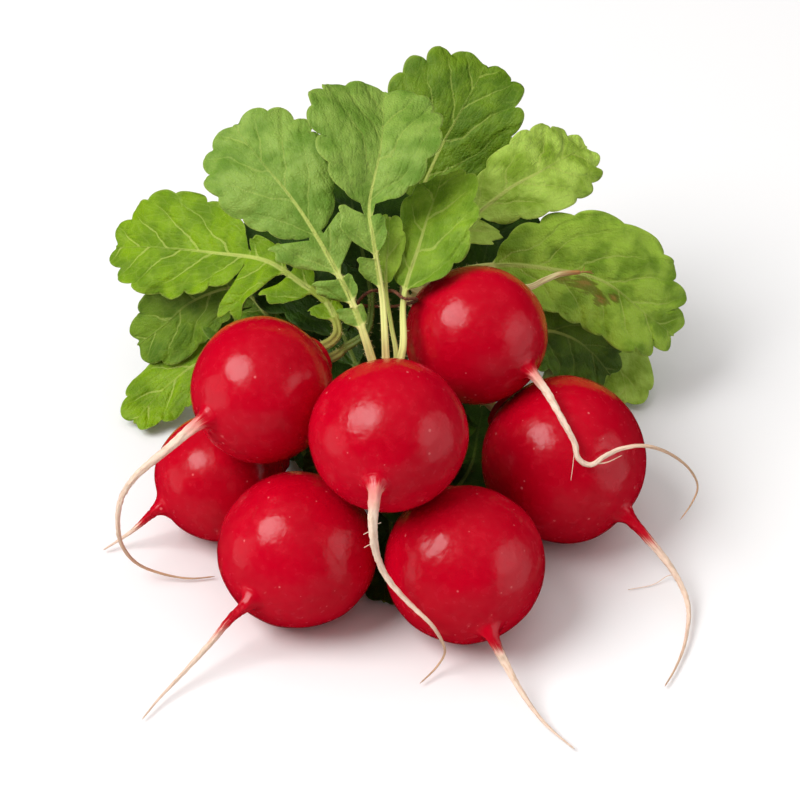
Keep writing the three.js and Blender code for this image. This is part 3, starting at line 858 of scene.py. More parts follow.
    def with_neck(self, rings: np.ndarray, heights: np.ndarray) -> np.ndarray:
        """Raises the low, scarred neck that carries the stalks.

        Args:
            rings: The skin's corners.
            heights: The height of each ring along the axis.

        Returns:
            The corners, moved outwards round the crown.
        """
        centre, crown = np.array(self.centre), self.crown_way()
        away = rings - centre
        far = np.linalg.norm(away, axis=-1)
        lean = np.clip((away @ crown) / far, -1.0, 1.0)
        aside = far * np.sqrt(1.0 - lean**2)
        top = (self.radius * CROWN_FLATTEN + NECK_HEIGHT - 0.12) / np.maximum(lean, 0.5)
        scars = 0.12 * np.sin(aside * 4.2) + 0.1 * ripples(rings, 1.6, self.seed + 4)
        share = (1.0 - smooth((aside - NECK_RADIUS) / NECK_SLOPE)) * (lean > 0.5)
        reach = mix(far, np.minimum(top + np.minimum(scars, 0.1), top + 0.1), share)
        moved = centre + away / far[..., None] * reach[..., None]
        return np.where((heights < 0)[:, None, None], moved, rings)

    def marks(self, points: np.ndarray, run: np.ndarray, turn: np.ndarray) -> dict[str, np.ndarray]:
        """The values that the skin's material reads, for rings and the two end points."""
        runs, turns = tube_runs(run, self.sides), tube_turns(turn, len(run))
        away = points - np.array(self.centre)
        lean = np.clip(unit(away) @ self.crown_way(), -1.0, 1.0)
        aside = np.where(lean > 0, np.linalg.norm(away, axis=-1) * np.sqrt(1 - lean**2), FAR_FROM_CROWN)
        around = rounded(turns, 7.0, runs * 0.045 + self.seed)
        grain = rounded(turns, 1.6, runs * 0.55 + self.seed)
        return self.named_marks(runs, aside, around, grain)

    def named_marks(
        self, runs: np.ndarray, aside: np.ndarray, around: np.ndarray, grain: np.ndarray
    ) -> dict[str, np.ndarray]:
        """The marks by the names that the material knows, and how far the red has faded."""
        pale = smooth((runs - self.fade[0]) / (self.fade[1] - self.fade[0]))
        marks = {"root_run": runs, "root_pale": pale, "crown_run": aside}
        return marks | {"root_around": around, "root_grain": grain}

    def side_shell(self, thin: SideRoot, route: Route) -> Shell:
        """One thin side root as a closed tapered tube.

        Args:
            thin: The side root.
            route: The taproot's middle line.

        Returns:
            Its mesh, with the same marks as the skin's.
        """
        start = route.at(np.array(thin.share * route.length))
        path = Route(np.vstack([start, start + np.array(thin.points)]))
        along = np.linspace(0, path.length, thin.rings)
        first, second = carried(path.way(along), np.array([0.1, 0.3, 1.0]))
        out = spokes(first, second, turns_round(thin.sides))
        thick = mix(thin.thick, thin.tip, (along / path.length) ** 0.7)
        rings = path.at(along)[:, None] + out * thick[:, None, None]
        rings[..., 2] = np.maximum(rings[..., 2], 0.03)
        points, faces = tube_skin(rings)
        runs = tube_runs(thin.share * route.length + along, thin.sides)
        grain = np.stack([runs * 0.0, runs * 0.0, runs * 0.6], axis=-1)
        return Shell(points, faces, self.named_marks(runs, runs * 0 + FAR_FROM_CROWN, grain, grain))

    def build(self, skin: bpy.types.Material) -> bpy.types.Object:
        """Makes the root, dresses it and puts it in the node's place.

        Args:
            skin: The skin's material.

        Returns:
            The finished piece.
        """
        made = self.shell().piece(f"{self.name}_skin")
        made.data.materials.append(skin)
        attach(made, "root")
        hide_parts(self.name)
        return made


# Leaves


@dataclass
class Leaf:
    """One leaf: stalk, side lobes and scalloped blade, sizes in millimetres.

    Attributes:
        name: The name of the node that it replaces.
        root: The root that it grows on.
        seat: The angle of its seat round the crown, in degrees.
        stalk: The share of its length before the blade.
        width: The blade's half width, left and right.
        teeth: How many scallops each side has.
        spine: Points of its middle line after the seat.
        facing: Where the upper side looks, at the start and at the end.
        tone: Its green.
        fold: How far the sides rise, in degrees.
        cup: How far the sides bend, for each millimetre outwards.
        wave: How high the edges wave.
        lobes: Side lobes as place along the stalk, reach left, reach right and span.
        thick: The stalk's radius.
        taper: How much wider the blade is towards its tip than towards its stalk.
        damage: Withered places, as x, y and radius on the blade.
        own_node: Whether a node of the model stands behind it.
        tip_radius: The midrib's radius at the tip.
        lamina: Half the blade's thickness.
        vein_gap: How far apart the side veins leave the midrib.
        vein_lean: How much they lean towards the tip.
        vein_bow: How much they bend towards it.
        half_columns: Corners from the midrib to the edge.
        blade_rows: Rows across the blade.
        lobe_rows: Rows across each lobe.
    """

    name: str
    root: Radish
    seat: float
    stalk: float
    width: tuple[float, float]
    teeth: int
    spine: list[Point]
    facing: tuple[Point, Point]
    tone: LeafTone
    fold: float = 8.0
    cup: float = -0.02
    wave: float = 1.2
    lobes: list[tuple[float, float, float, float]] = field(default_factory=list)
    thick: float = 1.3
    taper: float = 0.22
    damage: list[tuple[float, float, float]] = field(default_factory=list)
    own_node: bool = True
    tip_radius: float = 0.25
    lamina: float = 0.2
    vein_gap: float = 9.5
    vein_lean: float = 1.2
    vein_bow: float = 0.02
    half_columns: int = 22
    blade_rows: int = 130
    lobe_rows: int = 30

    def __post_init__(self) -> None:
        """Lays the middle line from the crown to the tip."""
        self.route = self.root.stalk_route(self.seat, self.spine)
        self.length = self.route.length
        self.blade_start = self.length * self.stalk
        self.blade_length = self.length - self.blade_start
        self.seed = sum(ord(letter) * (i + 3) for i, letter in enumerate(self.name))

    def rib(self, y: np.ndarray) -> np.ndarray:
        """The radius of the stalk or midrib at distances along the leaf."""
        return mix(self.thick, self.tip_radius, np.clip(y / self.length, 0, 1) ** 0.65)

    def middle(self, x: np.ndarray, y: np.ndarray) -> np.ndarray:
        """Points of the middle surface, x across and y along the spine."""
        share = np.clip(y / self.length, 0.0, 1.0)
        along = self.route.way(share * self.length)
        facing = mix(np.array(self.facing[0]), np.array(self.facing[1]), share[..., None])
        across = unit(np.cross(along, facing))
        normal = np.cross(across, along)
        point = self.route.at(share * self.length) + along * (y - share * self.length)[..., None]
        side = np.where(x < 0, -1.0, 1.0)
        reach = np.abs(x)
        width = np.where(x < 0, self.width[0], self.width[1])
        in_blade = smooth((y - self.blade_start * 0.5) / (self.blade_start * 0.5))
        fold = np.radians(self.fold) * in_blade
        out, lift = np.sin(self.cup * reach) / self.cup, (1 - np.cos(self.cup * reach)) / self.cup
        ripple = np.sin((y / self.blade_length) * 3.2 * math.pi + side * 1.1 + self.seat)
        wave = self.wave * np.minimum(1.3, reach / width) ** 2 * ripple * in_blade
        aside = side * (out * np.cos(fold) - lift * np.sin(fold))
        height = out * np.sin(fold) + lift * np.cos(fold) + wave
        return point + across * aside[..., None] + normal * height[..., None]

    def surface(self, x: np.ndarray, y: np.ndarray, height: np.ndarray) -> np.ndarray:
        """Points at heights over the middle surface, square to it."""
        step = 0.2
        aside = self.middle(x + step, y) - self.middle(x - step, y)
        ahead = self.middle(x, y + step) - self.middle(x, y - step)
        return self.middle(x, y) + unit(np.cross(aside, ahead)) * height[..., None]

    def scallops(self, phase: np.ndarray, depth: float) -> np.ndarray:
        """How far the edge reaches, 1 on a tooth and less in the notch at each whole phase."""
        draw = np.random.default_rng(self.seed)
        depths = depth * draw.uniform(0.7, 1.35, 40)
        own = depths[np.clip(np.round(phase).astype(int), 0, 39)]
        return 1.0 - own * (1.0 - np.abs(np.sin(math.pi * phase)) ** 0.62)

    def lobe_starts(self) -> list[float]:
        """Where the lobes start, each one ending clear of the next and of the blade."""
        limit = self.blade_start
        starts = []
        for place, _, _, span in reversed(self.lobes):
            limit = min(place * self.blade_start - span / 2, limit - span - LOBE_CLEARANCE)
            starts.insert(0, limit)
        return starts

    def rows(self) -> np.ndarray:
        """The rows across the leaf.

        Returns:
            For each row its y on the midrib, the left edge's reach and y, and the right edge's.
        """
        made: list[tuple[float, ...]] = []

        def bare(start: float, end: float) -> None:
            """Adds rows of plain stalk."""
            for y in np.arange(start, end - STALK_STEP / 3, STALK_STEP):
                thick = float(self.rib(y))
                made.append((y, thick, y, thick, y))

        reached = 0.0
        for (_, left, right, span), start in zip(self.lobes, self.lobe_starts()):
            bare(reached, start)
            for share in np.linspace(0, 1, self.lobe_rows):
                y = start + span * share
                outline = float(np.interp(share, np.linspace(0, 1, len(LOBE_OUTLINE)), LOBE_OUTLINE))
                row = [y]
                for reach, way in ((left, 0.0), (right, 0.5)):
                    teeth = self.scallops(np.array(share * 3.0 + way + 0.25), LOBE_TEETH[reach <= 3])
                    full = outline * float(teeth)
                    fan = LOBE_SPREAD * span * (share - 0.5) * outline if reach else 0.0
                    row += [float(self.rib(y)) + reach * full, y + LOBE_SWEEP * reach * full + fan]
                made.append(tuple(row))
            reached = start + span + 0.4
        bare(reached, self.blade_start if not self.lobes else min(self.blade_start, reached))
        count = self.teeth * 3 + 2
        for share in np.linspace(0.0, 0.992, self.blade_rows):
            angle = mix(0.12, math.pi, share)
            row = [self.blade_start + self.blade_length * (0.65 * share + 0.33 * share * share)]
            for width, way in zip(self.width, (0.0, 0.12)):
                phase = np.array(share * count / 3 + 1 / 3 + way)
                teeth = mix(1.0, float(self.scallops(phase, SCALLOP_DEPTH)), float(smooth(share * 3)))
                out = math.sin(angle) ** 0.9 * (1 - self.taper * math.cos(angle)) * teeth
                y = self.blade_start + 0.5 * self.blade_length * (1 - math.cos(angle) * teeth)
                row += [max(float(self.rib(row[0])), width * out), y]
            made.append(tuple(row))
        return np.array(made)

    def shell(self) -> Shell:
        """The leaf as one closed mesh with the values its material reads."""
        rows = self.rows()
        half = self.half_columns
        steps = np.linspace(-1, 1, 2 * half + 1)
        side = steps >= 0
        mid = rows[:, 0:1]
        reach = np.where(side, rows[:, 3:4], rows[:, 1:2])
        edge_y = np.where(side, rows[:, 4:5], rows[:, 2:3])
        thick = self.rib(mid) * np.ones_like(reach)
        blade = smooth((reach - thick) / (2 * thick))
        near = 5 / half
        inner = np.minimum(np.abs(steps) / near, 1.0) * 1.25 * thick
        outer = np.maximum(np.abs(steps) - near, 0.0) / (1 - near) * np.maximum(reach - 1.25 * thick, 0.05)
        x_blade = np.minimum(inner + outer, reach)
        x_stalk = reach * np.sin(np.abs(steps) * math.pi / 2)
        x = np.where(side, 1.0, -1.0) * mix(x_stalk, x_blade, blade)
        share = np.abs(x) / reach
        y = mix(mid, edge_y, share)
        round_off = np.sqrt(np.maximum(0.0, 1.0 - share**2)) * 0.96 + 0.04
        groove = 1.0 - 0.3 * np.exp(-((x / (0.4 * thick)) ** 2))
        sheet = self.lamina * (1.0 - 0.65 * share**8)
        top_blade = sheet + 0.32 * thick * np.exp(-((x / (0.45 * thick + 0.1)) ** 2))
        low_blade = sheet + (0.12 + 0.8 * thick) * np.exp(-((x / (0.7 * thick + 0.12)) ** 2))
        top = mix(0.85 * thick * round_off * groove, top_blade, blade)
        low = mix(thick * round_off, low_blade, blade)
        stray = 0.16 * ripples(np.stack([x, y, 0 * x + self.seed], axis=-1), 15.0, self.seed + 5)
        bow = self.vein_lean * np.abs(x) + self.vein_bow * x**2
        vein = (y - bow) / self.vein_gap + np.where(x < 0, 0.42, 0.0) + stray * smooth(np.abs(x) / 4.0)
        swell = self.crinkle(x, y, vein, share) * blade
        upper = self.surface(x, y, top + swell)
        lower = self.surface(x, y, swell - low)
        rings = np.concatenate([upper, lower[:, ::-1]], axis=1)
        count, around, _ = rings.shape
        faces = ring_faces(count, around)
        last = (count - 1) * around
        for k in range(2 * half):
            faces.append((k, around - 1 - k, around - 2 - k, k + 1))
            faces.append((last + k, last + k + 1, last + around - 2 - k, last + around - 1 - k))
        points = rings.reshape(-1, 3)
        points[:, 2] = np.maximum(points[:, 2], CLEAR_OF_FLOOR)

        def both(upper_values: np.ndarray, lower_values: np.ndarray | None = None) -> np.ndarray:
            """Values of the upper and the lower side in the corners' order."""
            other = upper_values if lower_values is None else lower_values
            return np.concatenate([upper_values, other[:, ::-1]], axis=1).ravel()

        net = np.stack([both(x), both(vein), both(share)], axis=-1)
        run = np.stack([both(blade), both(y / self.length), both(np.zeros_like(x), np.ones_like(x))], axis=-1)
        marks = {"leaf_net": net, "leaf_run": run, "leaf_wither": both(self.withered(x, y))}
        return Shell(points, faces, marks)

    def crinkle(self, x: np.ndarray, y: np.ndarray, vein: np.ndarray, share: np.ndarray) -> np.ndarray:
        """The height of the blade's quilting, sunk along its side veins and ruffled at its edge."""
        place = np.stack([x, y, 0 * x + self.seed], axis=-1)
        off = np.abs(vein % 1.0 - 0.5)
        sunk = np.exp(-((off / 0.1) ** 2))
        window = smooth(np.abs(x) / 2.5) * (1.0 - 0.35 * share**3)
        quilt = QUILT_DEPTH * (0.3 - sunk) * window
        small = waves(place, BLADE_WAVES, self.seed) * window
        ruffle = RUFFLE_DEPTH * ripples(place, 8.0, self.seed + 2) * share**3
        return quilt + small + ruffle

    def withered(self, x: np.ndarray, y: np.ndarray) -> np.ndarray:
        """How withered the blade is, from 0 to 1."""
        total = np.zeros_like(x)
        for across, along, radius in self.damage:
            far = np.hypot(x - across, 0.45 * (y - self.blade_start - along)) / radius
            total = np.maximum(total, np.exp(-(far**2)))
        return total

    def build(self, greens: dict[LeafTone, bpy.types.Material]) -> bpy.types.Object:
        """Makes the leaf, dresses it and puts it in the node's place.

        Args:
            greens: The material of each tone.

        Returns:
            The finished piece.
        """
        made = self.shell().piece(f"{self.name}_blade")
        made.data.materials.append(greens[self.tone])
        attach(made, "root")
        if self.own_node:
            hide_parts(self.name)
        return made


# What repeats


class NodeGarden:
    """A Geometry Nodes tree under construction, and the modifier that runs it."""

    def __init__(self, name: str, sizes: dict[str, float], material: bpy.types.Material) -> None:
        """Starts the tree.

        Args:
            name: The tree's name.
            sizes: Its named inputs and their values.
            material: The material that everything it grows gets.
        """
        self.tree = bpy.data.node_groups.new(name, "GeometryNodeTree")
        self.sizes, self.material = sizes, material
        self.sockets: dict[str, str] = {}
        self.tree.interface.new_socket("Geometry", in_out="INPUT", socket_type="NodeSocketGeometry")
        for size in sizes:
            made = self.tree.interface.new_socket(size, in_out="INPUT", socket_type="NodeSocketFloat")
            self.sockets[size] = made.identifier
        self.tree.interface.new_socket("Geometry", in_out="OUTPUT", socket_type="NodeSocketGeometry")
        self.start = self.tree.nodes.new("NodeGroupInput")
        self.stop = self.tree.nodes.new("NodeGroupOutput")

    def size(self, name: str) -> Socket:
        """A named input."""
        return self.start.outputs[name]

    def node(self, kind: str, settings: dict[str, str] | None = None, **values: object) -> bpy.types.Node:
        """Adds a node.

        Args:
            kind: Blender's name of the node type.
            settings: Options of the node.
            **values: Values or outputs for its inputs, an underscore standing for a space.

        Returns:
            The node.
        """
        made = self.tree.nodes.new(kind)
        for option, choice in (settings or {}).items():
            setattr(made, option, choice)
        for name, value in values.items():
            plug(self.tree, made.inputs[name.replace("_", " ")], value)
        return made

    def sum(self, operation: str, *values: object, kind: str = "ShaderNodeMath") -> Socket:
        """One sum of numbers or, with ShaderNodeVectorMath, of vectors."""
        made = self.node(kind, {"operation": operation})
        for socket, value in zip(made.inputs, values):
            plug(self.tree, socket, value)
        return made.outputs[0]

    def finish(self, grown: Socket) -> None:
        """Ends the tree in real geometry with its material."""
        real = self.node("GeometryNodeRealizeInstances", Geometry=grown)
        dressed = self.node("GeometryNodeSetMaterial", Geometry=real.outputs[0], Material=self.material)
        self.tree.links.new(dressed.outputs[0], self.stop.inputs[0])

    def grow(self, name: str, base: bpy.types.Mesh) -> bpy.types.Object:
        """Runs the tree on a mesh and keeps the result as a plain mesh.

        Args:
            name: The finished piece's name.
            base: The mesh that it grows on.

        Returns:
            The piece, at the origin and without a modifier.
        """
        carrier = placed(f"{name}_base", base)
        modifier = carrier.modifiers.new("grow", "NODES")
        modifier.node_group = self.tree
        for size, value in self.sizes.items():
            modifier[self.sockets[size]] = value
        bpy.context.view_layer.update()
        evaluated = carrier.evaluated_get(bpy.context.evaluated_depsgraph_get())
        mesh = bpy.data.meshes.new_from_object(evaluated)
        bpy.data.objects.remove(carrier)
        mesh.name = name
        return placed(name, mesh)


@dataclass
class Bristles:
    """Short stiff hairs that stand on the stalks and midribs, sizes in millimetres.

    Attributes:
        density: How many stand on a square millimetre.
        length: Their length.
        thick: Their radius at the foot.
        lean: How far they lean away from upright.
        scales: The shortest and the longest one, as shares of the length.
    """

    density: float = 0.9
    length: float = 0.85
    thick: float = 0.045
    lean: float = 0.55
    scales: tuple[float, float] = (0.35, 1.1)

    def build(self, leaves: list[Leaf], green: bpy.types.Material) -> bpy.types.Object:
        """Grows the hairs of all stalks as one piece.

        Args:
            leaves: The leaves that carry them.
            green: Their material.

        Returns:
            The finished piece.
        """
        sizes = {"Density": self.density / MM**2, "Length": self.length * MM, "Thick": self.thick * MM}
        garden = NodeGarden("stalk_bristles", sizes, green)
        spread = garden.node(
            "GeometryNodeDistributePointsOnFaces",
            Mesh=garden.start.outputs[0], Density=garden.size("Density"), Seed=7,
        )
        hair = garden.node(
            "GeometryNodeMeshCone", {"fill_type": "NONE"},
            Vertices=3, Radius_Top=0.0, Radius_Bottom=garden.size("Thick"), Depth=garden.size("Length"),
        )
        low, high = (-self.lean,) * 3, (self.lean,) * 3
        vectors = {"data_type": "FLOAT_VECTOR"}
        lean = garden.node("FunctionNodeRandomValue", vectors, Seed=3, Min=low, Max=high)
        way = garden.sum("ADD", spread.outputs["Normal"], lean.outputs["Value"], kind="ShaderNodeVectorMath")
        turn = garden.node("FunctionNodeAlignRotationToVector", {"axis": "Z"}, Vector=way)
        scale = garden.node("FunctionNodeRandomValue", {"data_type": "FLOAT"}, Seed=5)
        scale.inputs[2].default_value, scale.inputs[3].default_value = self.scales
        scatter = garden.node(
            "GeometryNodeInstanceOnPoints", Points=spread.outputs["Points"], Instance=hair.outputs["Mesh"],
            Rotation=turn.outputs[0], Scale=scale.outputs[1],
        )
        garden.finish(scatter.outputs[0])
        points, faces = [], []
        for leaf in leaves:
            shell = leaf.shell()
            blade = shell.marks["leaf_run"][:, 0]
            bare = [f for f in shell.faces if len(f) == 4 and max(blade[c] for c in f) < 0.3]
            start = sum(len(p) for p in points)
            points.append(shell.points)
            faces += [tuple(c + start for c in f) for f in bare]
        mesh = bpy.data.meshes.new("stalk_coats")
        mesh.from_pydata(((np.vstack(points) + SHIFT) * MM).tolist(), [], faces)
        made = garden.grow("stalk_bristles", mesh)
        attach(made, "root")
        return made


@dataclass
class Strand:
    """A thin twisted strand round the gathered stalks, sizes in millimetres.

    Attributes:
        points: The closed line that it follows.
        radius: Its radius.
        turns: How often its plies go round.
        plies: How many plies it has.
        bulge: How far the plies stand out and in, as a share of the radius.
    """

    points: list[Point]
    radius: float = 0.4
    turns: int = 22
    plies: int = 3
    bulge: float = 0.16

    def build(self, fibre: bpy.types.Material) -> bpy.types.Object:
        """Twists the strand along its line.

        Args:
            fibre: Its material.

        Returns:
            The finished piece.
        """
        sizes = {"Radius": self.radius * MM, "Twist": 2 * math.pi * self.turns, "Plies": float(self.plies)}
        garden = NodeGarden("twisted_strand", sizes, fibre)
        line = garden.node("GeometryNodeMeshToCurve", Mesh=garden.start.outputs[0])
        even = garden.node("GeometryNodeResampleCurve", Curve=line.outputs[0], Count=420)
        run = garden.node("GeometryNodeSplineParameter").outputs["Factor"]
        turn = garden.sum("MULTIPLY", run, garden.size("Twist"))
        tilted = garden.node("GeometryNodeSetCurveTilt", Curve=even.outputs[0], Tilt=turn)
        circle = garden.node("GeometryNodeCurvePrimitiveCircle", Resolution=18, Radius=garden.size("Radius"))
        angle = garden.sum("MULTIPLY", garden.sum("MULTIPLY", run, garden.size("Plies")), 2 * math.pi)
        share = garden.sum("MULTIPLY_ADD", garden.sum("COSINE", angle), self.bulge, 1.02 - self.bulge)
        place = garden.node("GeometryNodeInputPosition").outputs[0]
        wide = garden.node("ShaderNodeVectorMath", {"operation": "SCALE"}, Vector=place, Scale=share)
        lobed = garden.node("GeometryNodeSetPosition", Geometry=circle.outputs[0], Position=wide.outputs[0])
        curves = {"Curve": tilted.outputs[0], "Profile_Curve": lobed.outputs[0]}
        garden.finish(garden.node("GeometryNodeCurveToMesh", **curves).outputs[0])
        route = Route(self.points, closed=True, steps=24)
        places = (route.points[:-1] + SHIFT) * MM
        mesh = bpy.data.meshes.new("strand_line")
        mesh.from_pydata(places.tolist(), [(i, (i + 1) % len(places)) for i in range(len(places))], [])
        made = garden.grow("tie_strand", mesh)
        made.data.shade_smooth()
        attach(made, "root")
        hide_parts("tie")
        return made


@dataclass
class DryStalk:
    """A withered stalk with a frayed end, sizes in millimetres.

    Attributes:
        root: The root that it grows on.
        points: Points of its middle line after the seat.
        thick: Its radius at the crown.
        tip: Its radius at the frayed end.
        fibres: How many fibres stand out at the end.
        flat: Its height as a share of its width.
        spread: How far the fibres stand apart.
        reach: How long the shortest and the longest fibre are.
    """

    root: Radish
    points: list[Point]
    thick: float = 1.3
    tip: float = 0.5
    fibres: int = 5
    flat: float = 0.78
    spread: float = 0.55
    reach: tuple[float, float] = (1.2, 3.0)

    def tube(self, path: Route, thick: np.ndarray, sides: int, end: tuple[float, float]) -> Shell:
        """A ridged tube along a path.

        Args:
            path: Its middle line.
            thick: Its radius at evenly spaced places.
            sides: How many sides it has.
            end: How withered it is at the start and at the end, from 0 to 1.

        Returns:
            The tube, closed at both ends.
        """
        along = np.linspace(0, path.length, len(thick))
        first, second = carried(path.way(along), np.array([0.1, 0.2, 1.0]))
        turn = turns_round(sides)
        out = spokes(first, second, turn, self.flat)
        folds = 1.0 + 0.13 * np.sin(4 * turn[None] + 0.25 * along[:, None]) + 0.07 * np.sin(7 * turn[None])
        rings = path.at(along)[:, None] + out * (thick[:, None] * folds)[..., None]
        points, faces = tube_skin(rings)
        runs = tube_runs(along, sides)
        grain = rounded(tube_turns(turn, len(along)), 2.2, runs * 0.25)
        return Shell(points, faces, {"root_grain": grain, "dry_end": mix(end[0], end[1], runs / path.length)})

    def build(self, straw: bpy.types.Material) -> bpy.types.Object:
        """Makes the dry stalk and its fibres.

        Args:
            straw: Its material.

        Returns:
            The finished piece.
        """
        path = self.root.stalk_route(0.0, self.points)
        share = np.linspace(0, 1, 70)
        shell = self.tube(path, mix(self.thick, self.tip, share**2), 18, (0.0, 1.0))
        draw = np.random.default_rng(11)
        tip, way = path.points[-1], path.ways[-1]
        for _ in range(self.fibres):
            spread = draw.normal(size=3) * self.spread
            reach = draw.uniform(*self.reach)
            bent = tip + (way + spread) * reach
            bend = Route(np.vstack([tip - way * 1.5, tip + (way + 0.3 * spread) * reach * 0.5, bent]))
            shell = shell.joined(self.tube(bend, np.linspace(0.26, 0.06, 12), 6, (0.9, 1.0)))
        made = shell.piece("dry_stalk_straw")
        made.data.materials.append(straw)
        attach(made, "root")
        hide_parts("dry_stalk")
        return made


# The bunch


def radishes() -> list[Radish]:
    """The seven roots."""
    return [
        Radish(
            "radish_1", (0.2, 9, 47.4), 17.2, (-0.15, -0.98, 0.02),
            [(-3.2, -14.5, 40), (-2.2, -14.8, 32), (0.5, -16, 26), (4.9, -18, 21), (9.4, -20.5, 17.5),
             (12, -20.8, 12.5), (12.7, -18.5, 5.5), (10.8, -19.6, 2.4), (7.2, -23.2, 1.1)],
            crown=(-0.03, 0.99, -0.04), fade=(-0.5, 3.5), swell=(0.045, 0.01, 0.01),
            side_roots=[
                SideRoot(0.2, [(1.1, -0.2, -0.2), (1.8, -0.2, 0.1)], 0.13),
                SideRoot(0.23, [(-1.1, -0.2, -0.3), (-2.1, -0.3, -0.9)], 0.14),
                SideRoot(0.285, [(-1.1, -0.2, -0.2), (-2.2, -0.2, -1.0)], 0.14),
            ],
        ),
        Radish(
            "radish_2", (-20.8, 3.2, 17.55), 18, (-0.55, -0.83, -0.06),
            [(-35.5, -13, 11.5), (-39.1, -16.1, 8.5), (-45.7, -22.4, 4.2), (-51, -28.4, 2),
             (-54.7, -34.2, 1)],
            fade=(4.0, 21.0),
        ),
        Radish(
            "radish_3", (17.3, -1.4, 17.65), 18.1, (0.3, -0.92, -0.25),
            [(26, -22.5, 8), (30, -29, 4), (34.9, -36.2, 1.8), (41.2, -43.2, 1)],
            fade=(1.0, 9.0),
        ),
        Radish(
            "radish_4", (-28.8, 26.8, 46.3), 16.4, (-0.73, -0.68, 0.02),
            [(-50.5, 11.8, 40), (-57.3, 10.2, 34), (-60.9, 10.9, 27), (-62.3, 10.8, 20), (-61.9, 10.9, 12),
             (-58.6, 11.4, 5.5), (-52.5, 11.3, 2.2), (-46.6, 11, 1.2), (-40.8, 11.9, 1)],
            fade=(-0.5, 5.0), swell=(0.0, 0.0, 0.1),
        ),
        Radish(
            "radish_5", (-39.8, 31.4, 14.95), 15.4, (-0.85, -0.5, -0.15),
            [(-56.2, 23.5, 10), (-60, 23.2, 6), (-64, 22.5, 2.8), (-67.8, 21, 1)],
            fade=(4.0, 14.0),
        ),
        Radish(
            "radish_6", (41.3, 32.6, 19.25), 19.7, (0.7, -0.67, -0.25),
            [(62.4, 12.5, 9.6), (67, 7.2, 5.6), (69.4, 0.6, 2.8), (68.2, -9.6, 1.6), (65.3, -18.1, 1.1),
             (62.4, -24, 1)],
            fade=(3.0, 16.0), swell=(-0.015, 0.045, 0.0),
            side_roots=[SideRoot(0.41, [(-1.5, 4.3, -4), (-4.6, 2.6, -5), (-10.9, 0.8, -5.1)], 0.13)],
        ),
        Radish(
            "radish_7", (20.5, 46.4, 46), 16, (0.7, -0.7, -0.05),
            [(36, 29.5, 43.6), (39.5, 23.4, 40.6), (42.6, 18.6, 36.8), (43.5, 15.8, 34.3),
             (46.3, 15.4, 32.8),
             (49.5, 17.2, 33.8), (53.4, 19.4, 34.2), (58.8, 19, 35.5), (65.5, 20.9, 31), (70, 21.4, 26),
             (72.1, 21.1, 21), (70.9, 19.9, 17), (68.3, 18.4, 13)],
            fade=(-0.5, 5.0), swell=(0.05, 0.05, 0.04), base=1.55,
            side_roots=[
                SideRoot(0.34, [(-0.3, -1.9, -3.5), (-0.8, -3.9, -7.5)], 0.15),
                SideRoot(0.44, [(2.9, 0.8, -0.3), (6.5, 2.8, 0.1)]),
            ],
        ),
    ]


